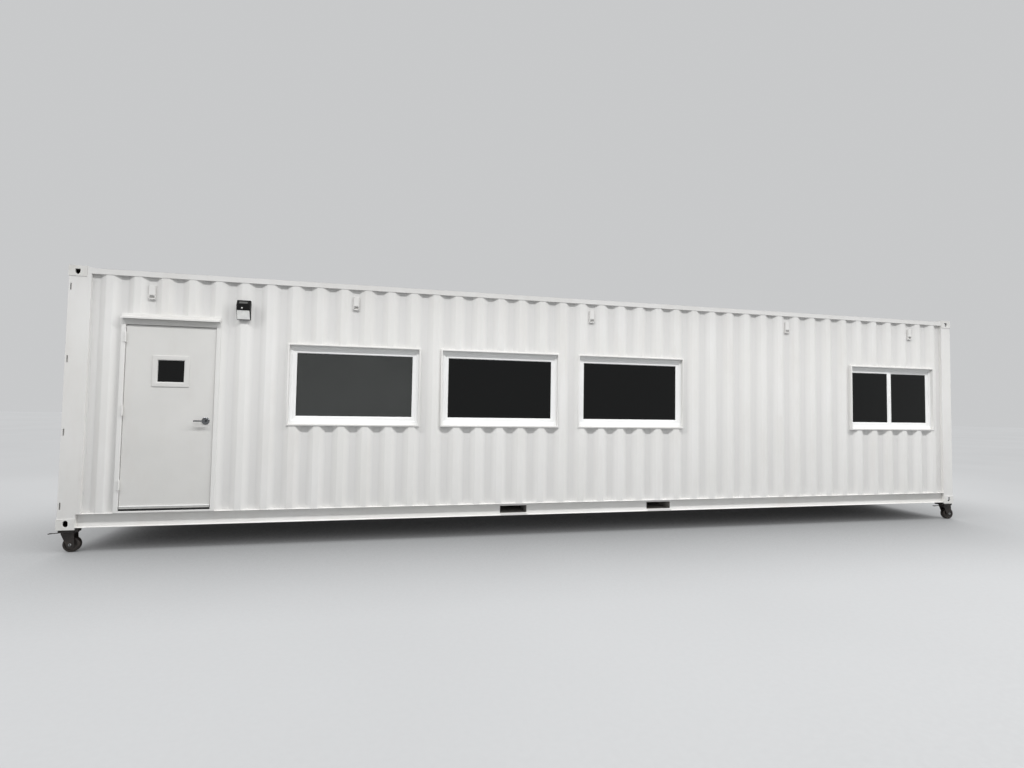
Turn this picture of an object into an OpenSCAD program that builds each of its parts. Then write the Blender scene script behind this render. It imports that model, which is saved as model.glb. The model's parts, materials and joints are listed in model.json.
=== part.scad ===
// Cabin made from a 40 ft high-cube shipping container, standing on four swivel casters.
// X runs along the length, with the cargo doors at -X. The windows and the personnel door
// face -Y, and +Z is up. The origin lies on the floor under the middle of the container.

/* [Container] */
// Length over the corner castings
cont_l = 12192; // [11900:1:13716]
// Width over the corner castings
cont_w = 2438; // [2300:1:2600]
// Height over the corner castings
cont_h = 2896; // [2800:1:3200]
// Height of the castings' undersides above the ground
ride_h = 250; // [240:1:320]
// Set-back of posts and rails behind the faces of the castings
frame_inset = 5; // [3:1:10]

/* [Corner castings] */
// Length of a casting along the container
cast_l = 178; // [170:1:190]
// Width of a casting across the container
cast_w = 162; // [155:1:170]
// Height of a casting
cast_h = 118; // [112:1:130]
// Thickness of the plate that holds the twist-lock slot
cast_plate = 28; // [24:1:32]
// Thickness of the casting's other walls
cast_wall = 14; // [10:1:18]
// Length of the twist-lock slot
slot_l = 124; // [120:1:130]
// Width of the twist-lock slot
slot_w = 63.5; // [60:0.5:66]
// Distance of the slot's centre from the end face
slot_end = 103.5; // [98:0.5:106]
// Distance of the slot's centre from the side face
slot_side = 89.5; // [86:0.5:92]
// Width of the side and end holes
eye_w = 51; // [45:1:60]
// Height of the lower castings' side and end holes
eye_h = 72; // [60:1:80]
// Height of the lower castings' holes above their slotted plates
eye_sill = 3; // [2:1:8]
// Height of the upper castings' shield-shaped holes
shield_h = 62; // [55:1:70]
// Drop of the shield-shaped holes below the castings' tops
shield_drop = 38; // [34:1:44]

/* [Frame] */
// Width of the posts at the cargo-door end, seen from the side
door_post_w = 221; // [200:1:240]
// Width of the posts at the blind end, seen from the side
blind_post_w = 178; // [170:1:200]
// Depth of the posts across the container
post_d = 65; // [60:1:80]
// Plate thickness of posts and rails
plate_t = 6; // [4:0.5:8]
// Size of the square top side rails
top_rail = 60; // [50:1:70]
// Drop of the top rails below the tops of the castings
top_drop = 23; // [18:1:30]
// Height of the bottom side rails' undersides above the castings' undersides
rail_lift = 20; // [12:1:30]
// Flange width of the bottom side rails
rail_flange = 46; // [38:1:50]
// Plate thickness of the bottom side rails
rail_t = 4.5; // [4:0.5:6]
// Height of the header over the cargo doors
header_h = 105; // [90:1:120]
// Depth of the end frames' header and sill along the container
header_d = 60; // [50:1:90]
// Set-back of the cargo doors and their header and sill behind the castings' end faces
cargo_inset = 42; // [40:1:50]
// Height of the cross members under the floor
cross_h = 122; // [115:1:130]
// Flange width of the cross members
cross_w = 45; // [40:1:50]
// Plate thickness of the cross members
cross_t = 4; // [3:0.5:5]
// Spacing of the cross members
cross_pitch = 300; // [280:1:340]
// Thickness of the plywood floor
deck_t = 28; // [24:1:32]

/* [Fork pockets] */
// Distance between the centres of the two fork pockets
pocket_span = 2050; // [1900:1:2100]
// Clear width of a fork pocket
pocket_w = 352; // [340:1:380]
// Height of the strap under a fork pocket
strap_h = 24; // [20:1:30]

/* [Corrugated walls] */
// Thickness of the corrugated sheet
sheet_t = 2; // [1.6:0.1:3]
// Set-back of the crests behind the faces of the castings
crest_inset = 10; // [8:1:14]
// Depth of the side walls' corrugation
wave_d = 36; // [30:1:40]
// Pitch of the side walls' corrugation
wave_pitch = 279; // [270:1:290]
// Width of a crest
wave_crest = 72; // [65:1:80]
// Width of a slope
wave_slope = 68; // [60:1:72]
// Pitch of the blind end wall's corrugation
end_pitch = 250; // [240:1:260]
// Depth of the blind end wall's corrugation
end_wave_d = 45; // [40:1:48]
// Pitch of the roof's corrugation
roof_pitch = 209; // [200:1:220]
// Depth of the roof's corrugation
roof_wave_d = 15; // [12:1:18]
// Thickness of the insulated wall lining
lining_t = 60; // [50:1:80]
// Thickness of the insulated ceiling
ceiling_t = 80; // [60:1:100]

/* [Cargo doors] */
// Thickness of a leaf
cargo_t = 50; // [40:1:60]
// Gap above and below the leaves
cargo_gap = 12; // [8:1:16]
// Width of the flat floor of a trough
trough_w = 150; // [120:1:160]
// Width of the slope beside a trough
trough_slope = 30; // [20:1:34]
// Depth of a trough
trough_d = 34; // [20:1:38]
// Length of plain leaf above and below the troughs
trough_end = 120; // [90:1:150]
// Height of the lowest hinge butt above the castings' undersides
butt_up = 258; // [240:1:320]
// Distance of the highest hinge butt below the upper casting
butt_down = 120; // [90:1:160]
// Height of a hinge butt
butt_h = 76; // [60:1:90]
// Width of the slot that shows a hinge butt on the post's side
butt_slot_w = 15; // [12:1:20]
// Distance of that slot from the end face
butt_slot_end = 21; // [18:1:26]
// Radius of a lock rod
rod_r = 15; // [12:0.5:16]
// Height of the lock handles above the leaves' lower edges
handle_up = 760; // [650:1:850]
// Length of a lock handle
handle_l = 330; // [280:1:345]
// Distance of the inner rod guides from the leaves' upper and lower edges
guide_in = 900; // [820:1:1000]

/* [Personnel door] */
// Distance of the door leaf's hinge edge from the cargo-door end
door_from_end = 586; // [560:1:700]
// Width of the door leaf
leaf_w = 914; // [860:1:920]
// Height of the door leaf
leaf_h = 2032; // [1980:1:2100]
// Thickness of the door leaf
leaf_t = 45; // [40:1:50]
// Height of the leaf's lower edge above the castings' undersides
leaf_lift = 231; // [225:1:240]
// Gap around the leaf
leaf_gap = 5; // [5:1:8]
// Set-back of the leaf's face behind the faces of the castings
leaf_inset = 13; // [12:1:20]
// Face width of the door frame's jambs
jamb_face = 46; // [40:1:60]
// Face height of the door frame's head
head_face = 122; // [100:1:150]
// Height of the stop inside the frame
stop_h = 16; // [12:1:20]
// Height of the threshold
threshold_h = 18; // [14:1:20]
// Height of the sweep on the leaf's lower edge
sweep_h = 40; // [36:1:42]
// Thickness of the sweep
sweep_t = 8; // [6:1:9]
// Projection of the drip cap
drip_out = 50; // [30:1:60]
// Height of the drip cap
drip_h = 22; // [16:1:30]

/* [Door light] */
// Outer width of the glazed light's frame
lite_w = 380; // [360:1:420]
// Outer height of the glazed light's frame
lite_h = 355; // [330:1:400]
// Face width of the glazed light's frame
lite_face = 55; // [45:1:60]
// Thickness of the flange of the light's frame
lite_t = 7; // [5:1:9]
// Distance of the light's centre from the hinge edge
lite_from_hinge = 460; // [440:1:480]
// Height of the light's centre above the leaf's lower edge
lite_up = 1521; // [1400:1:1560]
// Thickness of the double glazing
glazing_t = 18; // [12:1:24]

/* [Lever and hinges] */
// Distance of the lever's axis from the lock edge
backset = 76; // [70:1:90]
// Height of the lever's axis above the leaf's lower edge
lever_up = 962; // [900:1:1020]
// Reach of the lever
lever_l = 117; // [100:1:130]
// Distance of the lever's centre line from the leaf
lever_out = 48; // [44:1:54]
// Thickness of the lever
lever_t = 13; // [10:1:16]
// Height of the lever's bar
lever_h = 16; // [12:1:20]
// Gap between the leaf and the leg at the lever's tip
lever_leg_gap = 18; // [14:1:24]
// Radius of the rose
rose_r = 29; // [26:1:34]
// Thickness of the rose
rose_t = 10; // [6:1:12]
// Radius of the lever's neck
neck_r = 11; // [9:0.5:13]
// Height of a hinge
hinge_h = 114; // [100:1:120]
// Height of the lowest hinge's centre above the leaf's lower edge
hinge_low = 247; // [200:1:300]
// Distance of the highest hinge's centre below the leaf's upper edge
hinge_high = 137; // [110:1:200]
// Radius of a hinge knuckle
knuckle_r = 8; // [7:0.5:9]
// Radius of a hinge pin
pin_r = 4; // [3:0.5:5]
// Thickness of a hinge plate
hinge_t = 2.1; // [1.8:0.1:2.3]

/* [Windows] */
// Outer width of a window's steel surround
win_w = 1560; // [1500:1:1600]
// Outer height of a window's steel surround
win_h = 980; // [940:1:1020]
// Height of the windows' centres above the castings' undersides
win_up = 1636; // [1600:1:1700]
// Distance of the first window's centre from the cargo-door end
win_1_from_end = 3063; // [2950:1:3150]
// Distance of the second window's centre from the cargo-door end
win_2_from_end = 4878; // [4780:1:4950]
// Distance of the third window's centre from the cargo-door end
win_3_from_end = 6703; // [6680:1:6850]
// Distance of the two-part window's centre from the blind end
win_4_from_blind = 1122; // [1000:1:1300]
// Face width of the steel surround
surround_face = 20; // [16:1:40]
// Face width of the window frame
frame_face = 80; // [60:1:90]
// Extra height of the window frame's lower member
frame_sill = 18; // [10:1:36]
// Extra height of the window frame's upper member
frame_head = 12; // [4:1:20]
// Set-back of the window frame behind the surround
frame_back = 42; // [18:1:44]
// Face width of the window frame's outer step
frame_step_w = 30; // [24:1:40]
// Set-back of the sash behind the window frame's outer step
sash_back = 9; // [6:1:12]
// Set-back of the glass behind the face of the window frame
glass_back = 20; // [16:1:26]
// Width of the meeting stile of the two-part window
stile_w = 87; // [70:1:100]
// Distance of the meeting stile from the two-part window's middle, towards the left
stile_shift = 21; // [0:1:40]
// Extra width of the two-part window's left pane
fixed_extra = 25; // [0:1:30]

/* [Wall fittings] */
// Width of the wall light
lamp_w = 145; // [130:1:160]
// Height of the wall light's dark body
lamp_body_h = 121; // [100:1:140]
// Height of the wall light's lens
lamp_lens_h = 103; // [90:1:110]
// Depth of the wall light
lamp_d = 75; // [65:1:80]
// Height of the lens's lower edge above the castings' undersides
lamp_up = 2377; // [2350:1:2420]
// Width of a ventilator
vent_w = 66; // [60:1:70]
// Height of a ventilator
vent_h = 160; // [140:1:180]
// Depth of a ventilator
vent_d = 26; // [20:1:30]
// Height of the ventilators' centres above the castings' undersides
vent_up = 2645; // [2600:1:2680]

/* [Casters] */
// Radius of a wheel
wheel_r = 84; // [78:1:98]
// Width of a wheel
wheel_w = 64; // [54:1:70]
// Distance of the axle behind the kingpin
trail = 46; // [42:1:62]
// Distance of the kingpin from the slot's centre, towards the container's end
kingpin_out = 25; // [5:1:30]
// Thickness of the top plate
caster_plate_t = 14; // [12:1:16]
// Length of the top plate
caster_plate_l = 148; // [140:1:160]
// Width of the top plate
caster_plate_w = 156; // [120:1:160]
// Height of the top plate's turned-down edges
skirt_h = 30; // [24:1:30]
// Height of the upper race
race_h = 22; // [20:1:24]
// Radius of the upper race
race_r = 50; // [44:1:52]
// Thickness of the fork's crown
crown_t = 12; // [10:1:14]
// Radius of the fork's crown
crown_r = 58; // [54:1:62]
// Thickness of the fork's cheeks
cheek_t = 8; // [6:1:10]
// Gap between the wheel and a cheek
cheek_gap = 6; // [5:1:8]
// Radius of the axle
axle_r = 10; // [8:0.5:12]
// Radius of the kingpin
kingpin_r = 12; // [10:0.5:14]
// Radius of the round lower ends of the fork's cheeks
boss_r = 40; // [30:1:50]
// Length of the lock lever
lock_l = 135; // [100:1:150]
// Turn of the front left caster
turn_front_left = 0; // [-180:1:180]
// Turn of the front right caster
turn_front_right = -6; // [-180:1:180]
// Turn of the back left caster
turn_back_left = 15; // [-180:1:180]
// Turn of the back right caster
turn_back_right = -10; // [-180:1:180]

/* [Hidden] */
$fn = 48;
white = "#E4E4E2";
steel_grey = "#B9B8B5";
black = "#1E1B19";

// Main planes of the container
x_door_end = -cont_l / 2;
x_blind_end = cont_l / 2;
y_front = -cont_w / 2;
y_frame = y_front + frame_inset;
y_crest = y_front + crest_inset;
y_valley = y_crest + wave_d;
y_lining = y_valley + sheet_t;
y_room = y_lining + lining_t;
z_cast = ride_h;
z_top = ride_h + cont_h;
z_rail = z_cast + rail_lift;
z_deck = z_rail + cross_h;
z_floor = z_deck + deck_t;
rail_h = cross_h + deck_t;
z_rail_top = z_rail + rail_h;
pocket_h = cross_h - strap_h - plate_t;
z_roof = z_top - top_drop;
z_wall_top = z_roof - top_rail;
z_ceiling = z_roof - ceiling_t;
z_header = z_top - frame_inset - header_h;
rail_web_y = y_frame + rail_flange;
post_in_y = y_frame + post_d;

// Stretch of the side walls between the posts
wall_x0 = x_door_end + door_post_w;
wall_x1 = x_blind_end - blind_post_w;
wall_span = wall_x1 - wall_x0;
wave_valley = wave_pitch - wave_crest - 2 * wave_slope;
crests = floor(wall_span / wave_pitch);
wave_x0 = (wall_x0 + wall_x1 - crests * wave_pitch) / 2;
function crest_x(i) = wave_x0 + (i + 0.5) * wave_pitch;
function valley_x(i) = wave_x0 + i * wave_pitch;

// One trapezoid wave across x, starting at x0: points of the outer face
function wave_points(x0, pitch, crest, slope, low, high, n) =
    [for (i = [0 : n - 1]) let (c = x0 + (i + 0.5) * pitch)
        each [[c - crest / 2 - slope, low], [c - crest / 2, high],
              [c + crest / 2, high], [c + crest / 2 + slope, low]]];
function shifted(points, d) = [for (p = points) [p[0], p[1] + d]];
function reversed(points) = [for (i = [len(points) - 1 : -1 : 0]) points[i]];

// Personnel door
leaf_x0 = x_door_end + door_from_end;
leaf_x1 = leaf_x0 + leaf_w;
leaf_z0 = z_cast + leaf_lift;
leaf_z1 = leaf_z0 + leaf_h;
leaf_y = y_front + leaf_inset;
leaf_back = leaf_y + leaf_t;
frame_x0 = leaf_x0 - leaf_gap - jamb_face;
frame_x1 = leaf_x1 + leaf_gap + jamb_face;
frame_z1 = leaf_z1 + leaf_gap + head_face;
hinge_x = leaf_x0 - leaf_gap / 2;
hinge_y = y_front - knuckle_r - 0.5;
hinge_ups = [hinge_low, (hinge_low + leaf_h - hinge_high) / 2, leaf_h - hinge_high];
lever_x = leaf_x1 - backset;
lever_z = leaf_z0 + lever_up;
run_fit = 0.05;

// Windows
win_centres = [x_door_end + win_1_from_end, x_door_end + win_2_from_end,
    x_door_end + win_3_from_end, x_blind_end - win_4_from_blind];
win_z = z_cast + win_up;
sash_w = win_w - 2 * surround_face;
sash_h = win_h - 2 * surround_face;
glass_w = sash_w - 2 * frame_face;
glass_h = sash_h - 2 * frame_face - frame_sill - frame_head;
glass_z = win_z + (frame_sill - frame_head) / 2;
surround_y0 = y_frame - 2;
frame_y0 = surround_y0 + frame_back;
glass_y0 = frame_y0 + glass_back;
sliding_window = 3;

// Casters
kingpin_x = cont_l / 2 - slot_end + kingpin_out;
kingpin_y = cont_w / 2 - slot_side;
fork_top = ride_h - caster_plate_t - race_h;
crown_low = fork_top - crown_t;
fork_gap = 0.3;
lug_gap = 6;

// A copy of the children at each of the four corners, drawn for the corner at -X -Y
module at_corners(door_end = true, blind_end = true) {
    for (sx = [0, 1], sy = [0, 1])
        if (sx == 0 ? door_end : blind_end)
            mirror([sx, 0, 0]) mirror([0, sy, 0]) children();
}

// The children and their mirror image on the back side
module both_sides() {
    children();
    mirror([0, 1, 0]) children();
}

// A box given by its lowest and highest corners
module span(low, high) {
    translate(low) cube(high - low);
}

// A slot with round ends, lying along x, centred on the origin
module slot_outline(l, w) {
    square([l - w, w], center = true);
    for (s = [-1, 1]) translate([s * (l - w) / 2, 0]) circle(d = w);
}

// A shield with a flat top at y = 0 and a pointed foot
module shield_outline(w, h) {
    flank = h * 0.38;
    tip = h - flank;
    arc_r = (tip * tip + w * w / 4) / w;
    translate([-w / 2, -flank]) square([w, flank]);
    intersection() {
        translate([-w / 2, -h]) square([w, h - flank + 0.01]);
        translate([arc_r - w / 2, -flank]) circle(r = arc_r, $fn = 96);
        translate([w / 2 - arc_r, -flank]) circle(r = arc_r, $fn = 96);
    }
}

// The hole in a casting's side or end face, seen from outside with the casting's foot at y = 0
module eye_outline(upper) {
    if (upper) translate([0, cast_h - shield_drop]) shield_outline(eye_w, shield_h);
    else translate([0, cast_plate + eye_sill + eye_h / 2]) rotate(90) slot_outline(eye_h, eye_w);
}

// One corner casting with its outer corner at the origin
module corner_casting(upper) {
    cavity_z0 = upper ? cast_wall / 2 : cast_plate;
    cavity_z1 = cast_h - (upper ? cast_plate : cast_wall / 2);
    difference() {
        cube([cast_l, cast_w, cast_h]);
        span([cast_wall, cast_wall, cavity_z0],
             [cast_l - cast_wall, cast_w - cast_wall, cavity_z1]);
        translate([slot_end, slot_side, upper ? cavity_z1 - 1 : -1])
            linear_extrude(cast_plate + 2) slot_outline(slot_l, slot_w);
        translate([slot_side, cast_wall + 1, 0]) rotate([90, 0, 0])
            linear_extrude(cast_wall + 2) eye_outline(upper);
        translate([-1, slot_side, 0]) rotate([90, 0, 90])
            linear_extrude(cast_wall + 2) eye_outline(upper);
    }
}

module corner_castings() {
    color(white) at_corners() translate([x_door_end, y_front, 0]) {
        translate([0, 0, z_top - cast_h]) corner_casting(true);
        translate([0, 0, z_cast]) corner_casting(false);
    }
}

// A square-cornered tube standing along z
module tube_outline(x0, y0, x1, y1, t) {
    difference() {
        translate([x0, y0]) square([x1 - x0, y1 - y0]);
        translate([x0 + t, y0 + t]) square([x1 - x0 - 2 * t, y1 - y0 - 2 * t]);
    }
}

// A post between the castings; what is wider than the casting stands on the bottom rail and
// runs on up to the top rail
module corner_post(w) {
    x0 = x_door_end + frame_inset;
    translate([0, 0, z_cast + cast_h]) linear_extrude(z_rail_top - z_cast - cast_h)
        tube_outline(x0, y_frame, x_door_end + min(w, cast_l), post_in_y, plate_t);
    translate([0, 0, z_rail_top]) linear_extrude(z_top - cast_h - z_rail_top)
        tube_outline(x0, y_frame, x_door_end + w, post_in_y, plate_t);
    if (w > cast_l + 3 * plate_t)
        translate([0, 0, z_top - cast_h]) linear_extrude(z_wall_top - z_top + cast_h)
            tube_outline(x_door_end + cast_l, y_frame, x_door_end + w, post_in_y, plate_t);
}

// The posts; those beside the cargo doors have a slot for each hinge butt
module corner_posts() {
    color(white) {
        at_corners(blind_end = false) difference() {
            corner_post(door_post_w);
            for (up = butt_ups)
                translate([x_door_end + butt_slot_end, y_frame - 1, z_cast + up - butt_h / 2])
                    cube([butt_slot_w, plate_t + 2, butt_h]);
        }
        at_corners(door_end = false) corner_post(blind_post_w);
    }
}

module top_side_rails() {
    color(white) both_sides()
        translate([x_door_end + cast_l, 0, 0]) rotate([90, 0, 90])
            linear_extrude(cont_l - 2 * cast_l)
                tube_outline(y_frame, z_wall_top, y_frame + top_rail, z_roof, plate_t / 2);
}

// Section of a bottom side rail, open to the outside
module bottom_rail_outline() {
    difference() {
        translate([y_frame, z_rail]) square([rail_flange, rail_h]);
        translate([y_frame - 1, z_rail + rail_t])
            square([rail_flange - rail_t + 1, rail_h - 2 * rail_t]);
    }
}

module bottom_side_rails() {
    color(white) both_sides() {
        difference() {
            translate([x_door_end + cast_l, 0, 0]) rotate([90, 0, 90])
                linear_extrude(cont_l - 2 * cast_l) bottom_rail_outline();
            for (s = [-1, 1]) translate([s * pocket_span / 2, y_frame - 1, z_rail + strap_h])
                translate([-pocket_w / 2, 0, 0]) cube([pocket_w, rail_flange + 2, pocket_h]);
        }
        for (s = [-1, 1]) translate([s * pocket_span / 2 - pocket_w / 2, y_frame, z_rail])
            cube([pocket_w, plate_t, strap_h]);
    }
}

// Tubes across an end between the castings: the header and the sill
module end_rail_pair(inset) {
    half = cont_w / 2 - cast_w;
    x0 = x_door_end + inset;
    rotate([90, 0, 0]) linear_extrude(2 * half, center = true) {
        tube_outline(x0, z_header, x0 + header_d, z_top - frame_inset, plate_t);
        tube_outline(x0, z_rail, x0 + header_d, z_rail_top, plate_t);
    }
}

module end_rails() {
    color(white) {
        end_rail_pair(cargo_inset);
        mirror([1, 0, 0]) end_rail_pair(frame_inset);
    }
}

// Cross members: channels between the side rails, left out where the fork pockets run
cross_x0 = wall_x0 + cross_w;
cross_run = wall_x1 - cross_w - cross_x0;
cross_n = floor(cross_run / cross_pitch);
cross_step = cross_run / cross_n;
pocket_room = pocket_w / 2 + plate_t + cross_w;
function by_pocket(x) = abs(abs(x) - pocket_span / 2) < pocket_room;

module cross_member() {
    rotate([90, 0, 0]) linear_extrude(2 * -rail_web_y, center = true) difference() {
        translate([-cross_w / 2, 0]) square([cross_w, cross_h]);
        translate([-cross_w / 2 - 1, cross_t]) square([cross_w - cross_t + 1, cross_h - 2 * cross_t]);
    }
}

module cross_members() {
    color(steel_grey) for (i = [0 : cross_n]) let (x = cross_x0 + i * cross_step)
        if (!by_pocket(x)) translate([x, 0, z_rail]) cross_member();
}

// Two open tunnels from side to side, just outside the openings in the rails
module fork_pockets() {
    color(steel_grey) for (s = [-1, 1]) translate([s * pocket_span / 2, 0, z_rail])
        rotate([90, 0, 0]) linear_extrude(2 * -rail_web_y, center = true) difference() {
            translate([-pocket_w / 2 - plate_t, strap_h - plate_t])
                square([pocket_w + 2 * plate_t, cross_h - strap_h + plate_t]);
            translate([-pocket_w / 2, strap_h]) square([pocket_w, pocket_h]);
        }
}

module floor_deck() {
    color("#8A7358") difference() {
        span([x_door_end + cargo_inset + header_d, rail_web_y, z_deck],
             [x_blind_end - frame_inset - header_d, -rail_web_y, z_floor]);
        at_corners() span([x_door_end, y_front, z_deck - 1],
                          [x_door_end + cast_l, post_in_y, z_floor + 1]);
    }
}

// Roof sheet: waves along x, lying on the top rails between the headers
gusset_l = 90;
gusset_slope = 76;

module roof_sheet() {
    x = cont_l / 2 - cast_l - gusset_l;
    n = floor(2 * x / roof_pitch);
    flat = roof_pitch / 2 - roof_wave_d;
    top = concat([[-x, z_roof]],
        wave_points(-n * roof_pitch / 2, roof_pitch, flat, roof_wave_d, z_roof,
                    z_roof + roof_wave_d, n),
        [[x, z_roof]]);
    color(white) rotate([90, 0, 0]) linear_extrude(2 * -y_frame, center = true)
        polygon(concat(shifted(top, sheet_t), reversed(top)));
}

// Plates behind the headers, which slope from the castings' tops down to the roof
module roof_corner_plate(inset) {
    x = x_door_end + cast_l;
    drop = 6;
    rotate([90, 0, 0]) linear_extrude(2 * -y_frame, center = true)
        polygon([[x, z_roof], [x, z_top - drop], [x + gusset_slope, z_roof + sheet_t + 1],
                 [x + gusset_l, z_roof + sheet_t + 1], [x + gusset_l, z_roof]]);
    span([x_door_end + inset + header_d, y_front + cast_w, z_top - drop - 4],
         [x + 1, -y_front - cast_w, z_top - drop]);
}

module roof_corner_plates() {
    color(white) {
        roof_corner_plate(cargo_inset);
        mirror([1, 0, 0]) roof_corner_plate(frame_inset);
    }
}

// Corrugated sheet of a side wall in plan, from xa to xb
module wave_outline(xa, xb) {
    face = concat([[wall_x0, y_valley]],
        wave_points(wave_x0, wave_pitch, wave_crest, wave_slope, y_valley, y_crest, crests),
        [[wall_x1, y_valley]]);
    intersection() {
        polygon(concat(face, reversed(shifted(face, sheet_t))));
        translate([xa, y_crest - 1]) square([xb - xa, wave_d + sheet_t + 2]);
    }
}

module wave_wall(xa, xb, z0, z1) {
    translate([0, 0, z0]) linear_extrude(z1 - z0) wave_outline(xa, xb);
}

// Openings for the windows, cut through everything between two planes
module window_cuts(y0, y1, w, h) {
    for (x = win_centres) span([x - w / 2, y0, win_z - h / 2], [x + w / 2, y1, win_z + h / 2]);
}

module front_wall_left() {
    color(white) wave_wall(wall_x0, frame_x0, z_rail_top, z_wall_top);
}

module front_wall_over_door() {
    color(white) wave_wall(frame_x0, frame_x1, frame_z1, z_wall_top);
}

module front_wall_right() {
    color(white) difference() {
        wave_wall(frame_x1, wall_x1, z_rail_top, z_wall_top);
        window_cuts(y_crest - 1, y_lining + 1, win_w, win_h);
    }
}

module back_wall() {
    color(white) mirror([0, 1, 0]) wave_wall(wall_x0, wall_x1, z_rail_top, z_wall_top);
}

// Blind end wall: upright waves between the posts, notched round the upper castings
module end_wall() {
    half = -post_in_y;
    n = floor(2 * half / end_pitch);
    slope = end_wave_d * 0.4;
    crest = end_pitch / 2 - slope;
    low = -x_blind_end + crest_inset + end_wave_d;
    face = concat([[-half, low]],
        wave_points(-n * end_pitch / 2, end_pitch, crest, slope, low, low - end_wave_d, n),
        [[half, low]]);
    color(white) difference() {
        translate([0, 0, z_rail_top]) linear_extrude(z_header - z_rail_top) rotate(90)
            polygon(concat(face, reversed(shifted(face, sheet_t))));
        at_corners(door_end = false) span([x_door_end, y_front, z_top - cast_h],
                                          [x_door_end + cast_l, y_front + cast_w, z_top]);
    }
}

// Cargo doors: two fixed leaves with upright troughs, between the door-end posts
cargo_x = x_door_end + cargo_inset;
cargo_z0 = z_rail_top + cargo_gap;
cargo_z1 = z_header - cargo_gap;
cargo_half = -post_in_y - 8;
cargo_mid = 6;
cargo_leaf = cargo_half - cargo_mid;

module cargo_doors() {
    color(white) both_sides() difference() {
        span([cargo_x, -cargo_half, cargo_z0], [cargo_x + cargo_t, -cargo_mid, cargo_z1]);
        for (i = [0 : 2])
            translate([cargo_x, -cargo_mid - cargo_leaf * (1 + 2 * i) / 6, cargo_z0 + trough_end])
                linear_extrude(cargo_z1 - cargo_z0 - 2 * trough_end)
                    polygon([[-1, -trough_w / 2 - trough_slope], [-1, trough_w / 2 + trough_slope],
                             [trough_d, trough_w / 2], [trough_d, -trough_w / 2]]);
    }
}

// Hinge butts: four to a post, on its inner edge; a slot shows each on the post's side
butt_step = (cont_h - cast_h - butt_down - butt_up) / 3;
butt_ups = [for (i = [0 : 3]) butt_up + i * butt_step];
butt_reach = 30;

module cargo_door_hinges() {
    color(white) both_sides() for (up = butt_ups)
        translate([0, 0, z_cast + up]) {
            span([x_door_end + 1, y_frame + 2 * plate_t, -butt_h / 2],
                 [x_door_end + frame_inset, post_in_y + butt_reach, butt_h / 2]);
            span([x_door_end + frame_inset, post_in_y, -butt_h / 2],
                 [cargo_x, post_in_y + butt_reach, butt_h / 2]);
        }
}

// Lock rods: each with guides on its leaf, keepers on header and sill, and a handle
rod_x = cargo_x - rod_r - 3;
keeper_x = x_door_end + 3;
guide_x = keeper_x + 4;
guide_w = 60;
guide_h = 40;
keeper_w = 52;
keeper_h = 44;
handle_t = 36;
catch_w = 40;
catch_h = 52;
edge_up = 60;

// A block on the rod at y, centred at z, from x0 to x1
module rod_block(y, z, w, h, x0, x1) {
    span([x0, y - w / 2, z - h / 2], [x1, y + w / 2, z + h / 2]);
}

module lock_rod(y, side) {
    rod_z0 = z_rail + guide_h;
    rod_z1 = z_top - frame_inset - guide_h;
    handle_z = cargo_z0 + handle_up;
    translate([rod_x, y, rod_z0]) cylinder(r = rod_r, h = rod_z1 - rod_z0);
    for (z = [cargo_z0 + edge_up, cargo_z0 + guide_in, cargo_z1 - guide_in, cargo_z1 - edge_up])
        rod_block(y, z, guide_w, guide_h, guide_x, cargo_x);
    for (z = [rod_z0 + 30, rod_z1 - 20]) rod_block(y, z, keeper_w, keeper_h, keeper_x, cargo_x);
    rod_block(y + side * handle_l / 2, handle_z, handle_l, handle_t, guide_x, rod_x);
    rod_block(y + side * (handle_l - 30), handle_z, catch_w, catch_h, rod_x, cargo_x);
}

module lock_rods() {
    color(steel_grey) both_sides() {
        lock_rod(-cargo_mid - cargo_leaf / 6, -1);
        lock_rod(-cargo_mid - cargo_leaf * 5 / 6, 1);
    }
}

// Insulated linings
module lining_panel(xa, xb, z0, z1) {
    span([xa, y_lining, z0], [xb, y_room, z1]);
}

module front_lining_left() {
    color("#DAD8D2") lining_panel(wall_x0, frame_x0, z_floor, z_ceiling);
}

module front_lining_over_door() {
    color("#DAD8D2") lining_panel(frame_x0, frame_x1, frame_z1, z_ceiling);
}

module front_lining_right() {
    color("#DAD8D2") difference() {
        lining_panel(frame_x1, wall_x1, z_floor, z_ceiling);
        window_cuts(y_lining - 1, y_room + 1, sash_w, sash_h);
    }
}

module back_lining() {
    color("#DAD8D2") mirror([0, 1, 0]) lining_panel(wall_x0, wall_x1, z_floor, z_ceiling);
}

module end_linings() {
    color("#DAD8D2") difference() {
        for (x = [wall_x0 - lining_t, wall_x1])
            span([x, post_in_y, z_floor], [x + lining_t, -post_in_y, z_ceiling]);
        at_corners() span([x_door_end, y_front, z_top - cast_h],
                          [x_door_end + cast_l, y_front + cast_w, z_top]);
    }
}

module ceiling_lining() {
    x = cont_l / 2 - cast_l;
    color("#E2E0DA") span([-x, post_in_y, z_ceiling], [x, -post_in_y, z_roof]);
}

// Small ventilators in the valleys high on both side walls, with a slot in the lower third
vent_valleys = [2, 10, round(crests / 2), crests - 10, crests - 2];
vent_rim = 8;
vent_slot_z = 12;
vent_slot_h = 32;

module ventilator() {
    slot_low = vent_slot_z - vent_h / 2;
    difference() {
        span([-vent_w / 2, -vent_d, -vent_h / 2], [vent_w / 2, 0, vent_h / 2]);
        span([vent_rim - vent_w / 2, -vent_d - 1, slot_low],
             [vent_w / 2 - vent_rim, -vent_d * 0.45, slot_low + vent_slot_h]);
    }
}

module ventilators() {
    color(white) both_sides() for (i = vent_valleys)
        translate([valley_x(i), y_valley, z_cast + vent_up]) ventilator();
}

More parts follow.
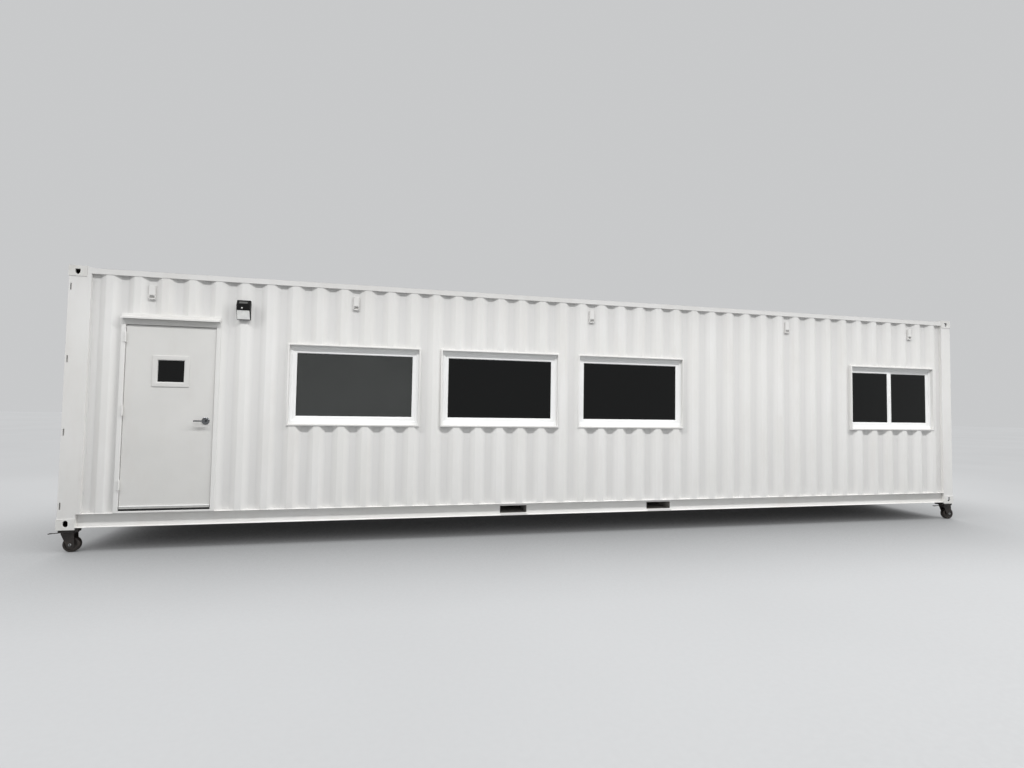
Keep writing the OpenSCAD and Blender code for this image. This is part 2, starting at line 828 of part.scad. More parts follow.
// Door frame: two jambs and a head, with a stop behind the leaf
module door_frame() {
    stop_y = leaf_back + leaf_gap;
    color(white) difference() {
        span([frame_x0, y_front, z_rail_top], [frame_x1, y_room, frame_z1]);
        span([leaf_x0 - leaf_gap, y_front - 1, z_rail_top - 1],
             [leaf_x1 + leaf_gap, stop_y, leaf_z1 + leaf_gap]);
        span([leaf_x0 - leaf_gap + stop_h, stop_y - 1, z_rail_top - 1],
             [leaf_x1 + leaf_gap - stop_h, y_room + 1, leaf_z1 + leaf_gap - stop_h]);
        span([leaf_x0 - leaf_gap, stop_y - 1, z_rail_top - 1],
             [leaf_x1 + leaf_gap, y_room + 1, upstand_z]);
    }
}

// Drip cap on the head, with a sloping top and a lip along its front edge
drip_fall = 8;
drip_lip = 6;
drip_lip_t = 3;
drip_end = 6;

module drip_cap() {
    z = leaf_z1 + leaf_gap + head_face * 0.55;
    edge_y = y_front - drip_out;
    color(white) translate([frame_x0 + drip_end, 0, z]) rotate([90, 0, 90])
        linear_extrude(frame_x1 - frame_x0 - 2 * drip_end)
            polygon([[y_front, 0], [y_front, drip_h], [edge_y, drip_h - drip_fall],
                     [edge_y, -drip_lip], [edge_y + drip_lip_t, -drip_lip],
                     [edge_y + drip_lip_t, 0]]);
}

// Threshold with an upstand behind the leaf
upstand_z = leaf_z0 + 14;

module threshold() {
    y = leaf_back + leaf_gap;
    color(white) translate([leaf_x0 - leaf_gap, 0, z_rail_top]) rotate([90, 0, 90])
        linear_extrude(leaf_w + 2 * leaf_gap)
            polygon([[y_front + 2, 0], [y_front + 2, threshold_h - 3], [y_front + 8, threshold_h],
                     [y, threshold_h], [y, upstand_z - z_rail_top], [y + 14, upstand_z - z_rail_top],
                     [y + 18, threshold_h - 4], [y_room, threshold_h - 6], [y_room, 0]]);
}

lite_x = leaf_x0 + lite_from_hinge;
lite_z = leaf_z0 + lite_up;
lite_lap = 20;
lite_hole_w = lite_w - 2 * lite_lap;
lite_hole_h = lite_h - 2 * lite_lap;
lite_glass_w = lite_w - 2 * lite_face;
lite_glass_h = lite_h - 2 * lite_face;

// A box centred on the door light, from y0 to y1
module lite_box(w, h, y0, y1) {
    span([lite_x - w / 2, y0, lite_z - h / 2], [lite_x + w / 2, y1, lite_z + h / 2]);
}

module door_leaf() {
    color("#D2D1CE") difference() {
        span([leaf_x0, leaf_y, leaf_z0], [leaf_x1, leaf_back, leaf_z1]);
        lite_box(lite_hole_w, lite_hole_h, leaf_y - 1, leaf_back + 1);
        translate([lever_x, leaf_back + 1, lever_z]) rotate([90, 0, 0])
            cylinder(r = neck_r + 4, h = leaf_t + 2);
    }
}

module door_sweep() {
    color("#C8C8C6") span([leaf_x0 + 2, leaf_y - sweep_t, leaf_z0 + 12 - sweep_h],
                          [leaf_x1 - 2, leaf_y, leaf_z0 + 12]);
}

// Frame of the glazed light: a flange on each face of the leaf, joined through the hole
module door_light_frame() {
    color("#EDEDEB") difference() {
        union() {
            lite_box(lite_w, lite_h, leaf_y - lite_t, leaf_y);
            lite_box(lite_hole_w, lite_hole_h, leaf_y, leaf_back);
            lite_box(lite_w, lite_h, leaf_back, leaf_back + lite_t);
        }
        lite_box(lite_glass_w, lite_glass_h, leaf_y - lite_t - 1, leaf_back + lite_t + 1);
    }
}

module door_light_glass() {
    mid = leaf_y + leaf_t / 2;
    color("#33383799") lite_box(lite_glass_w, lite_glass_h, mid - glazing_t / 2, mid + glazing_t / 2);
}

// Butt hinges: five knuckles each, with the pin held by the frame's half
knuckle_h = hinge_h / 5;

module knuckles(which) {
    for (k = which) translate([hinge_x, hinge_y, k * knuckle_h + 0.2])
        cylinder(r = knuckle_r, h = knuckle_h - 0.4);
}

// A plate in the gap beside the leaf, with a tongue to each of its knuckles
module hinge_plate(x, which) {
    span([x, y_front - 0.2, 0.2], [x + hinge_t, leaf_back - 8, hinge_h - 0.2]);
    for (k = which) span([x, hinge_y, k * knuckle_h + 0.2],
                         [x + hinge_t, y_front + 1, (k + 1) * knuckle_h - 0.2]);
}

module hinge_frame_halves() {
    color(white) for (up = hinge_ups) translate([0, 0, leaf_z0 + up - hinge_h / 2]) {
        knuckles([0, 2, 4]);
        hinge_plate(leaf_x0 - leaf_gap, [0, 2, 4]);
        translate([hinge_x, hinge_y, 0.3]) cylinder(r = pin_r, h = hinge_h - 0.6);
    }
}

module hinge_leaf_halves() {
    color(white) for (up = hinge_ups) translate([0, 0, leaf_z0 + up - hinge_h / 2])
        difference() {
            union() {
                knuckles([1, 3]);
                hinge_plate(leaf_x0 - hinge_t, [1, 3]);
            }
            translate([hinge_x, hinge_y, -1]) cylinder(r = pin_r + run_fit, h = hinge_h + 2);
        }
}

// Roses on both faces of the leaf, bored for the lever's neck
module lever_roses() {
    color("#C9CBCD") difference() {
        translate([lever_x, leaf_back + rose_t, lever_z]) rotate([90, 0, 0]) {
            cylinder(r = rose_r, h = rose_t);
            translate([0, 0, leaf_t + rose_t]) cylinder(r = rose_r, h = rose_t);
        }
        translate([lever_x, leaf_back + rose_t + 1, lever_z]) rotate([90, 0, 0])
            cylinder(r = neck_r + run_fit, h = leaf_t + 2 * rose_t + 2);
    }
}

// Outline of a lever seen from outside: a bar from the neck to a round tip at -X
module lever_outline() {
    circle(r = neck_r);
    translate([neck_r - lever_l, -lever_h / 2]) square([lever_l - neck_r, lever_h]);
    translate([neck_r - lever_l, 0]) circle(d = lever_h);
}

// Levers inside and outside on one neck, each with a leg at its tip back towards the leaf
module lever_handle() {
    leg_w = lever_t;
    leg_l = lever_out - lever_leg_gap;
    tip_x = neck_r - lever_l - lever_h / 2;
    color("#D5D7D9") {
        translate([lever_x, leaf_back + lever_out, lever_z]) rotate([90, 0, 0])
            cylinder(r = neck_r, h = leaf_t + 2 * lever_out);
        for (y = [leaf_y - lever_out, leaf_back + lever_out])
            translate([lever_x, y, lever_z]) rotate([90, 0, 0])
                linear_extrude(lever_t, center = true) lever_outline();
        for (y = [leaf_y - lever_out, leaf_back + lever_leg_gap])
            translate([lever_x, y + leg_l, lever_z]) rotate([90, 0, 0])
                linear_extrude(leg_l) intersection() {
                    lever_outline();
                    translate([tip_x, -lever_h]) square([leg_w, 2 * lever_h]);
                }
    }
}

// A flat ring standing in the wall, centred at x and z
module ring(x, z, w, h, face, y0, y1) {
    difference() {
        span([x - w / 2, y0, z - h / 2], [x + w / 2, y1, z + h / 2]);
        span([x - w / 2 + face, y0 - 1, z - h / 2 + face],
             [x + w / 2 - face, y1 + 1, z + h / 2 - face]);
    }
}

module window_surrounds() {
    color(white) for (x = win_centres)
        ring(x, win_z, win_w, win_h, surround_face, surround_y0, y_lining);
}

// Glass openings of window i, as pairs of centre offset and width
function between(x0, x1) = [(x0 + x1) / 2, x1 - x0];
function panes(i) = i == sliding_window
    ? [between(-glass_w / 2 - fixed_extra, -stile_shift - stile_w / 2),
       between(-stile_shift + stile_w / 2, glass_w / 2)]
    : [between(-glass_w / 2, glass_w / 2)];

module pane_box(x, pane, y0, y1) {
    span([x + pane[0] - pane[1] / 2, y0, glass_z - glass_h / 2],
         [x + pane[0] + pane[1] / 2, y1, glass_z + glass_h / 2]);
}

// Frames with a step: the sash stands back inside the outer part, with a taller sill and head
module window_frames() {
    step_w = sash_w / 2 - frame_step_w;
    color("#F5F5F4") for (i = [0 : len(win_centres) - 1]) let (x = win_centres[i])
        difference() {
            span([x - sash_w / 2, frame_y0, win_z - sash_h / 2],
                 [x + sash_w / 2, y_room, win_z + sash_h / 2]);
            span([x - step_w, frame_y0 - 1, win_z - sash_h / 2 + frame_step_w + frame_sill],
                 [x + step_w, frame_y0 + sash_back,
                  win_z + sash_h / 2 - frame_step_w - frame_head]);
            for (pane = panes(i)) pane_box(x, pane, frame_y0 - 1, y_room + 1);
        }
}

module window_glass() {
    color("#33383799") for (i = [0 : len(win_centres) - 1]) for (pane = panes(i))
        pane_box(win_centres[i], pane, glass_y0, glass_y0 + glazing_t);
}

// Wall light on a crest between the door and the first window
lamp_x = crest_x(5);
lens_rim = 4;

module wall_light_body() {
    z = z_cast + lamp_up + lamp_lens_h;
    color(black) translate([lamp_x - lamp_w / 2, 0, z]) rotate([90, 0, 90]) linear_extrude(lamp_w)
        polygon([[y_crest, 0], [y_crest, lamp_body_h], [y_crest - lamp_d * 0.6, lamp_body_h],
                 [y_crest - lamp_d, lamp_body_h * 0.6], [y_crest - lamp_d, 0]]);
}

module wall_light_lens() {
    z = z_cast + lamp_up;
    color("#DDDDD8") translate([lamp_x - lamp_w / 2 + lens_rim, 0, z]) rotate([90, 0, 90])
        linear_extrude(lamp_w - 2 * lens_rim)
            polygon([[y_crest, 0], [y_crest, lamp_lens_h], [y_crest - lamp_d + 5, lamp_lens_h],
                     [y_crest - lamp_d * 0.5, 0]]);
}

// Caster top plate with turned-down edges and a lug in the casting's slot, seen from the slot's
// centre, and the clamp that grips the casting's inner edge
plate_back = 85;
clamp_l = 28;
clamp_w = 70;
clamp_y0 = -72;
clamp_h = 21;
clamp_lift = 14;
clamp_bolt_r = 11;
clamp_bolt_h = 9;

module caster_clamp() {
    x0 = caster_plate_l - plate_back - 1;
    x1 = cast_l - slot_end;
    span([x0, clamp_y0, ride_h - clamp_h], [x1 + clamp_l, clamp_y0 + clamp_w, ride_h]);
    span([x1, clamp_y0, ride_h - clamp_h], [x1 + clamp_l, clamp_y0 + clamp_w, ride_h + clamp_lift]);
    translate([x1 + clamp_l / 2, clamp_y0 + clamp_w / 2, ride_h - clamp_h - clamp_bolt_h])
        cylinder(r = clamp_bolt_r, h = clamp_bolt_h + 1, $fn = 6);
}

module caster_top() {
    difference() {
        translate([-plate_back, -caster_plate_w / 2, ride_h - skirt_h])
            cube([caster_plate_l, caster_plate_w, skirt_h]);
        translate([-plate_back + plate_t, -caster_plate_w / 2 + plate_t, ride_h - skirt_h - 1])
            cube([caster_plate_l - 2 * plate_t, caster_plate_w - 2 * plate_t,
                  skirt_h - caster_plate_t + 1]);
    }
    translate([0, 0, ride_h]) linear_extrude(cast_plate - 2)
        slot_outline(slot_l - lug_gap, slot_w - lug_gap);
    caster_clamp();
}

// The top plate with the upper race, the kingpin and its nut
nut_r = kingpin_r + 7;
nut_h = 9.5;
nut_gap = 0.5;

module caster_plate() {
    translate([kingpin_out, 0, 0]) caster_top();
    translate([0, 0, fork_top]) cylinder(r = race_r, h = race_h);
    translate([0, 0, crown_low - 4]) cylinder(r = kingpin_r, h = crown_t + 4);
    translate([0, 0, crown_low - nut_gap - nut_h]) cylinder(r = nut_r, h = nut_h, $fn = 6);
}

module caster_plates() {
    color(black) at_corners() translate([-kingpin_x, -kingpin_y, 0]) caster_plate();
}

cheek_in = wheel_w / 2 + cheek_gap;
cheek_out = cheek_in + cheek_t;
crown_l = 78;
crown_back = 48;
lock_w = 18;
lock_t = 6;
lock_drop = 4;
foot_l = 30;
foot_w = 32;
foot_t = 8;

// Seen from the side: a cheek with a straight top and a round lower end about the axle
module cheek_outline() {
    polygon([[-crown_back, crown_low], [crown_l, crown_low], [trail + boss_r, wheel_r],
             [trail - boss_r, wheel_r]]);
    translate([trail, wheel_r]) circle(r = boss_r);
}

// Lock lever with a foot at its end, sloping down from the crown on the side away from the wheel
module lock_lever() {
    translate([-crown_back - 2, 0, crown_low + crown_t / 2]) rotate([0, 180 - lock_drop, 0]) {
        translate([0, -lock_w / 2, -lock_t / 2]) cube([lock_l, lock_w, lock_t]);
        translate([lock_l - foot_l, -foot_w / 2, -foot_t / 2]) cube([foot_l, foot_w, foot_t]);
    }
}

// Fork with its axle and its lock lever
module caster_fork() {
    difference() {
        translate([0, 0, crown_low]) {
            cylinder(r = crown_r, h = crown_t - fork_gap);
            translate([-crown_back, -cheek_out, 0])
                cube([crown_back + crown_l, 2 * cheek_out, crown_t - fork_gap]);
        }
        translate([0, 0, crown_low - 1]) cylinder(r = kingpin_r + run_fit, h = crown_t + 2);
    }
    for (s = [0, 1]) mirror([0, s, 0]) translate([0, cheek_out, 0]) rotate([90, 0, 0])
        linear_extrude(cheek_t) cheek_outline();
    translate([trail, cheek_out + cheek_t, wheel_r]) rotate([90, 0, 0])
        cylinder(r = axle_r, h = 2 * (cheek_out + cheek_t));
    lock_lever();
}

module caster_fork_at(sx, sy, turn) {
    color(black) translate([sx * kingpin_x, sy * kingpin_y, 0]) rotate(turn) caster_fork();
}

// Wheel with a rounded tread, a recessed web and a bored hub
hub_r = 28;
rim_r = 60;
web_in = 14;

module caster_wheel() {
    w = wheel_w / 2;
    side = [[axle_r + run_fit, w + 4], [hub_r - 4, w + 4], [hub_r, w - web_in],
            [rim_r - 4, w - web_in], [rim_r, w], [wheel_r - 8, w], [wheel_r - 2, w - 4],
            [wheel_r, w - 12]];
    rotate([90, 0, 0]) rotate_extrude($fn = 96)
        polygon(concat(side, [for (p = reversed(side)) [p[0], -p[1]]]));
}

module caster_wheel_at(sx, sy, turn) {
    color("#2A2522") translate([sx * kingpin_x, sy * kingpin_y, 0]) rotate(turn)
        translate([trail, 0, wheel_r]) caster_wheel();
}

corner_castings();
corner_posts();
top_side_rails();
bottom_side_rails();
end_rails();
cross_members();
fork_pockets();
floor_deck();
roof_sheet();
roof_corner_plates();
front_wall_left();
front_wall_over_door();
front_wall_right();
back_wall();
end_wall();
cargo_doors();
cargo_door_hinges();
lock_rods();
front_lining_left();
front_lining_over_door();
front_lining_right();
back_lining();
end_linings();
ceiling_lining();
ventilators();
door_frame();
drip_cap();
threshold();
door_leaf();
door_sweep();
door_light_frame();
door_light_glass();
hinge_frame_halves();
hinge_leaf_halves();
lever_roses();
lever_handle();
window_surrounds();
window_frames();
window_glass();
wall_light_body();
wall_light_lens();
caster_plates();
caster_fork_at(-1, -1, turn_front_left);  // caster_fork_front_left
caster_fork_at(1, -1, turn_front_right);  // caster_fork_front_right
caster_fork_at(-1, 1, turn_back_left);  // caster_fork_back_left
caster_fork_at(1, 1, turn_back_right);  // caster_fork_back_right
caster_wheel_at(-1, -1, turn_front_left);  // caster_wheel_front_left
caster_wheel_at(1, -1, turn_front_right);  // caster_wheel_front_right
caster_wheel_at(-1, 1, turn_back_left);  // caster_wheel_back_left
caster_wheel_at(1, 1, turn_back_right);  // caster_wheel_back_right
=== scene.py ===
"""Looks for the container cabin: paint, glass, seals, fastenings, lamps and camera.

Every length is in metres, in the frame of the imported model: the floor is at z = 0, the wall with
the personnel door and the windows faces -Y, and the cargo doors are at -X.
"""
import json
import math

import bmesh
import bpy
from mathutils import Matrix, Vector


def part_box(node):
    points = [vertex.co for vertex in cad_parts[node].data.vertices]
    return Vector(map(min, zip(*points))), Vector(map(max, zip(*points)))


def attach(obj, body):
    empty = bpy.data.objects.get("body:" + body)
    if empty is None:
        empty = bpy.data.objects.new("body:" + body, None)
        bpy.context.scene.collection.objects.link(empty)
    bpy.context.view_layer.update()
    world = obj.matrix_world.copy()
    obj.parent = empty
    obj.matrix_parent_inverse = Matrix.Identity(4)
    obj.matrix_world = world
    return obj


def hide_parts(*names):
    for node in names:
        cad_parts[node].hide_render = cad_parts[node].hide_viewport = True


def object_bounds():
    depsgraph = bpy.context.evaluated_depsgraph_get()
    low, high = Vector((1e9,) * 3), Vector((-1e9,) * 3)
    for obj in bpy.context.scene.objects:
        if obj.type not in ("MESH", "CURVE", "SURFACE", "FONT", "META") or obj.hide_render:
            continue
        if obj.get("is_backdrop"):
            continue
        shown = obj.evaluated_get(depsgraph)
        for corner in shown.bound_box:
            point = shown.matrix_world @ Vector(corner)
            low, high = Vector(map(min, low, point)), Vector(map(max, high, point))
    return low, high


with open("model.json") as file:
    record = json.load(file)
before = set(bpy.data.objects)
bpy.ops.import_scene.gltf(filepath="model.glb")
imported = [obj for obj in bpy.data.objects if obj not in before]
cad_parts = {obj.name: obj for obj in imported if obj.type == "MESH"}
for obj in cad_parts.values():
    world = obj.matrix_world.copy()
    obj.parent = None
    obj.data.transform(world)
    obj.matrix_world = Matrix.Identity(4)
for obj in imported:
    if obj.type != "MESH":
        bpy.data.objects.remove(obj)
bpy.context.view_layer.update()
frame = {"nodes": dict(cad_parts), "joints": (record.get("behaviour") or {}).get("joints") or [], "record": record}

MM = 0.001
record = frame["record"]
body_of = {node: body for body, nodes in record["behaviour"]["bodies"].items() for node in nodes}
slot_of = {part["node"]: part["material_slot"] for part in record["subparts"]}
joint_at = {joint["name"]: joint for joint in frame["joints"]}
AXES = [Vector((1, 0, 0)), Vector((0, 1, 0)), Vector((0, 0, 1))]
# Points nearer than this are one point, faces flatter than this are one face, and an edge keeps
# its crease where its faces meet at more than the last angle
SAME_POINT, SAME_FACE, CREASE = 0.002 * MM, math.radians(0.5), math.radians(32)


# Nodes and finishes

# The stretch of a noise's range over which patches, marks and grain change over
PATCH_FROM, PATCH_TO = 0.35, 0.65
MARK_FROM, MARK_TO = 0.5, 0.78
GRAIN_FROM, GRAIN_TO = 0.3, 0.7


def linear(code):
    """An sRGB colour such as #E4E4E2 as the linear RGBA that a socket takes."""
    parts = [int(code[i:i + 2], 16) / 255 for i in (1, 3, 5)]
    return [c / 12.92 if c <= 0.04045 else ((c + 0.055) / 1.055) ** 2.4 for c in parts] + [1.0]


def add(tree, kind, inputs=None, **settings):
    """A node of that kind. Inputs are values, or outputs of other nodes, by name or number."""
    node = tree.nodes.new(kind)
    for key, value in settings.items():
        setattr(node, key, value)
    for key, value in (inputs or {}).items():
        if isinstance(value, bpy.types.Node):
            value = value.outputs[0]
        if isinstance(value, bpy.types.NodeSocket):
            tree.links.new(value, node.inputs[key])
        else:
            node.inputs[key].default_value = value
    return node


def finish(name, colour, drift, grain, gloss, relief=0.0, stretch=(1, 1, 1), marks=None,
           painted_shade=None, **sockets):
    """A finish whose colour drifts towards a second one in patches, with a grain in its gloss
    and relief. Drift is (colour, size of the patches), grain the grain's size, gloss the
    roughness at its smoothest and roughest, and relief the grain's height. A stretch under 1
    draws a pattern out along that axis. Marks are streaks or specks of a third colour: (colour,
    share, size, stretch). Sizes are in millimetres. A painted shade is a darker colour that fades
    out between two distances in metres from the plane y = 0, so that recesses look shaded:
    (colour, near, far)."""
    patch_colour, patch = drift
    material = bpy.data.materials.new(name)
    material.use_nodes = True
    tree = material.node_tree
    tree.nodes.clear()
    place = add(tree, "ShaderNodeTexCoord").outputs["Object"]
    patches = add(tree, "ShaderNodeTexNoise",
                  {"Vector": place, "Scale": 1000 / patch, "Detail": 4.0})
    spread = add(tree, "ShaderNodeMapRange",
                 {0: patches.outputs[0], 1: PATCH_FROM, 2: PATCH_TO})
    shade = add(tree, "ShaderNodeMix", {0: spread, 6: linear(colour), 7: linear(patch_colour)},
                data_type="RGBA")
    if marks:
        mark_colour, share, size, mark_stretch = marks
        drawn = add(tree, "ShaderNodeMapping", {"Vector": place, "Scale": mark_stretch})
        spots = add(tree, "ShaderNodeTexNoise",
                    {"Vector": drawn, "Scale": 1000 / size, "Detail": 6.0, "Roughness": 0.65})
        mask = add(tree, "ShaderNodeMapRange",
                   {0: spots.outputs[0], 1: MARK_FROM, 2: MARK_TO, 4: share})
        shade = add(tree, "ShaderNodeMix",
                    {0: mask, 6: shade.outputs[2], 7: linear(mark_colour)}, data_type="RGBA")
    # Painted shade: a darker colour in the recesses, fading out towards the far distance
    if painted_shade:
        painted_shade_colour, near, far = painted_shade
        depth = add(tree, "ShaderNodeMath", {
            0: add(tree, "ShaderNodeSeparateXYZ", {0: place}).outputs[1]}, operation="ABSOLUTE")
        mask = add(tree, "ShaderNodeMapRange", {0: depth, 1: near, 2: far, 3: 1.0, 4: 0.0})
        shade = add(tree, "ShaderNodeMix",
                    {0: mask, 6: shade.outputs[2], 7: linear(painted_shade_colour)}, data_type="RGBA")
    drawn = add(tree, "ShaderNodeMapping", {"Vector": place, "Scale": stretch})
    fine = add(tree, "ShaderNodeTexNoise", {"Vector": drawn, "Scale": 1000 / grain, "Detail": 3.0})
    rough = add(tree, "ShaderNodeMapRange", {
        0: fine.outputs[0], 1: GRAIN_FROM, 2: GRAIN_TO, 3: gloss[0], 4: gloss[1]})
    inputs = {"Base Color": shade.outputs[2], "Roughness": rough}
    if relief:
        inputs["Normal"] = add(tree, "ShaderNodeBump", {"Height": fine.outputs[0],
                                                        "Distance": relief * MM, "Strength": 1.0})
    inputs.update(sockets)
    shader = add(tree, "ShaderNodeBsdfPrincipled", inputs)
    add(tree, "ShaderNodeOutputMaterial", {"Surface": shader})
    return material


# Polyurethane enamel sprayed on steel: semi-gloss white with a faint orange peel, a little
# duller in patches, and with pale run marks where rain has dried
white_enamel = finish("white_enamel", "#DAD9D6", ("#DFDEDC", 900), 5, (0.36, 0.5), relief=0.05,
                      marks=("#C4BCB5", 0.22, 260, (1, 1, 0.22)))
# The same enamel on the long walls, with painted shade: a faint grey in the corrugation's valleys, where little
# light reaches
wall_enamel = finish("wall_enamel", "#DDDCD9", ("#E1E0DE", 900), 5, (0.34, 0.46), relief=0.05,
                     marks=("#C4BCB5", 0.22, 260, (1, 1, 0.22)), painted_shade=("#D7D6D4", 1.175, 1.196))
# The same enamel over cast steel: the sand's grain shows through it
casting_enamel = finish("casting_enamel", "#D7D6D2", ("#DCDBD8", 240), 9, (0.42, 0.6), relief=0.5,
                        marks=("#B0A79D", 0.35, 60, (1, 1, 0.6)))
# Inside the castings: brown-black painted shade in the hollows, rough, with rust bloom
casting_shade_and_rust = finish("casting_shade_and_rust", "#1F1B18", ("#2C241E", 40), 6, (0.7, 0.9), relief=0.6,
                        marks=("#4A3222", 0.5, 25, (1, 1, 1)))
# Grey underframe paint: flat, with road dust
underframe_paint = finish("underframe_paint", "#A9A7A3", ("#989691", 350), 8, (0.55, 0.75),
                          relief=0.12, marks=("#7F776C", 0.4, 120, (1, 1, 1)))
# Hot-dip zinc on the lock rods: metallic, mid-grey, with cloudy spangle
galvanised_zinc = finish("galvanised_zinc", "#B9BCBD", ("#A2A6A8", 18), 7, (0.32, 0.5),
                         relief=0.05, Metallic=1.0)
# Zinc-plated screw steel: brighter and finer than hot-dip zinc
zinc_screw = finish("zinc_screw", "#C6C8C9", ("#B4B6B8", 6), 1.5, (0.25, 0.4), relief=0.02,
                    Metallic=1.0)
# Sealed birch plywood: warm brown, grain drawn out along the sheet, scuffed
plywood = finish("plywood", "#9C8160", ("#86694B", 300), 4, (0.42, 0.62), relief=0.15,
                 stretch=(0.05, 1, 1), marks=("#6C543B", 0.5, 14, (0.04, 1, 1)))
# Plastic-faced insulated board: matt off-white with a fine leather grain
lining_board = finish("lining_board", "#DAD8D2", ("#D4D2CB", 700), 1.6, (0.55, 0.68), relief=0.08)
# Baked polyester enamel on the steel door: flatter and smoother than the sprayed walls
door_enamel = finish("door_enamel", "#D0CFCC", ("#D4D3D0", 500), 3, (0.34, 0.44), relief=0.03,
                     marks=("#C3BCB5", 0.2, 180, (1, 1, 0.3)))
# Extruded rigid vinyl: bright white, even, with drawing lines too fine to feel
white_vinyl = finish("white_vinyl", "#F2F2F1", ("#EDEDEC", 400), 2, (0.28, 0.36), relief=0.02)
# Extruded rubber for gaskets and seals: dull black that greys with dust
gasket_rubber = finish("gasket_rubber", "#1C1C1C", ("#292929", 60), 1.2, (0.6, 0.8), relief=0.05)
# Light grey rubber of the door's sweep: matt, drawn out along the door
sweep_rubber = finish("sweep_rubber", "#B9B8B5", ("#AEADAA", 50), 2.5, (0.6, 0.8), relief=0.15,
                      stretch=(0.05, 1, 1))
# Black nylon bristles under it: matt, drawn out downwards
nylon_bristle = finish("nylon_bristle", "#141414", ("#222222", 30), 1.5, (0.7, 0.9), relief=0.3,
                       stretch=(1, 1, 0.05))
# Satin-chromed zinc die casting with slight haze and finger marks; its dark grey is a painted reflection of dark
# surroundings
satin_chrome = finish("satin_chrome", "#7B7C7E", ("#6F7173", 25), 3, (0.12, 0.22), relief=0.01,
                      Metallic=1.0)
# Black powder coat on the light's cast housing: fine even pebble, low gloss
black_powder_coat = finish("black_powder_coat", "#0B0B0B", ("#101010", 60), 1.4, (0.5, 0.65),
                           relief=0.12, **{"Specular IOR Level": 0.15})
# Painted highlight on the light's black hood: a glossy mid grey where its slope catches light
painted_slope_highlight = finish("painted_slope_highlight", "#5E5E5C", ("#545453", 30), 5, (0.08, 0.16))
# Prismatic polycarbonate: milky white and glossy, a little yellowed in patches
lamp_lens = finish("lamp_lens", "#F6F6F3", ("#E9E9E6", 45), 5, (0.1, 0.2), relief=0.1,
                   **{"Transmission Weight": 0.06, "IOR": 1.58})
# Black machine paint on pressed steel: satin, with brown dust and rubbed spots
caster_paint = finish("caster_paint", "#1D1917", ("#2B2521", 70), 3, (0.4, 0.6), relief=0.08,
                      marks=("#4A4038", 0.5, 35, (1, 1, 1)))
# Cast polyurethane tyre: brown-black, its tread worn dull
caster_tread = finish("caster_tread", "#231E1B", ("#302A26", 40), 2, (0.5, 0.7), relief=0.1,
                      marks=("#55493F", 0.45, 28, (1, 1, 1)))
# Grey cast iron of the wheel's core: sand-grained and dull
cast_core = finish("cast_core", "#3A3633", ("#47423E", 30), 2.5, (0.5, 0.7), relief=0.2)
# Tinted double glazing: float glass with a grey-green tint, made near-black as painted shade of
# the dark room behind it. Its IOR is under plain glass's 1.5, at which it mirrors more of the sky
# than the real panes do
tinted_shaded_glass = finish("tinted_shaded_glass", "#151817", ("#121514", 900), 900, (0.015, 0.03),
                      **{"Transmission Weight": 0.85, "IOR": 1.35})
# The same glazing in the first window, lighter grey and a little hazier; its grey is painted shade of the room
# behind
first_window_glass = finish("first_window_glass", "#5D605E", ("#555856", 500), 300, (0.02, 0.05),
                     **{"Transmission Weight": 0.7, "IOR": 1.52})
# Extruded mill-finish aluminium of the glazing's spacers and the latch's plate: soft grey metal
mill_aluminium = finish("mill_aluminium", "#C4C6C7", ("#B4B7B9", 40), 2, (0.3, 0.45), relief=0.02,
                        stretch=(0.05, 1, 1), Metallic=1.0)
# Enamelled weld metal: the walls' enamel over the ripples of the bead
weld_enamel = finish("weld_enamel", "#D6D5D2", ("#DCDBD9", 60), 4, (0.4, 0.55), relief=0.25)

finish_of = {
    "white_enamel": white_enamel, "underframe_paint": underframe_paint,
    "galvanised_steel": galvanised_zinc, "plywood": plywood, "lining_panel": lining_board,
    "door_enamel": door_enamel, "light_grey_seal": sweep_rubber, "white_vinyl": white_vinyl,
    "dark_glass": tinted_shaded_glass, "satin_chrome": satin_chrome, "black_housing": black_powder_coat,
    "clear_lens": lamp_lens, "black_steel": caster_paint, "caster_tyre": caster_tread,
}


# Making pieces

def piece(name, mesh, material, body, slot, *nodes):
    """A finished piece from a bmesh, which rides on a body and stands for the CAD nodes."""
    data = bpy.data.meshes.new(name)
    mesh.to_mesh(data)
    mesh.free()
    return fitted(name, data, material, body, slot, *nodes)


def fitted(name, data, material, body, slot, *nodes):
    """The same from a mesh: smooth, with its sharp edges kept sharp."""
    data.shade_smooth()
    data.set_sharp_from_angle(angle=CREASE)
    if not data.materials:
        data.materials.append(material)
    obj = bpy.data.objects.new(name, data)
    bpy.context.scene.collection.objects.link(obj)
    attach(obj, body)
    if nodes:
        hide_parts(*nodes)
    return obj


def rounded(obj, width, segments=2):
    """Rolled or broken edges of that width in millimetres."""
    bevel = obj.modifiers.new("edges", "BEVEL")
    bevel.width = width * MM
    bevel.segments = segments
    bevel.limit_method = "ANGLE"
    bevel.angle_limit = CREASE
    bevel.harden_normals = True
    return obj


def merged(node):
    """A copy of a CAD node with its vertices merged and its flat faces whole again."""
    mesh = bmesh.new()
    mesh.from_mesh(frame["nodes"][node].data)
    bmesh.ops.remove_doubles(mesh, verts=mesh.verts, dist=SAME_POINT)
    bmesh.ops.dissolve_limit(mesh, angle_limit=SAME_FACE, verts=mesh.verts, edges=mesh.edges)
    return mesh


def islands(node):
    """(low, high) corners of the separate solids of a CAD node: those before the middle plane
    first, then from left to right and upwards."""
    mesh = merged(node)
    found, seen = [], set()
    for start in mesh.verts:
        if start in seen:
            continue
        group, ahead = [], [start]
        seen.add(start)
        while ahead:
            v = ahead.pop()
            group.append(v.co)
            for e in v.link_edges:
                other = e.other_vert(v)
                if other not in seen:
                    seen.add(other)
                    ahead.append(other)
        low = Vector([min(c[i] for c in group) for i in range(3)])
        high = Vector([max(c[i] for c in group) for i in range(3)])
        found.append((low, high))
    mesh.free()
    return sorted(found, key=lambda b: (b[0].y > 0, round(b[0].x, 3), b[0].z))


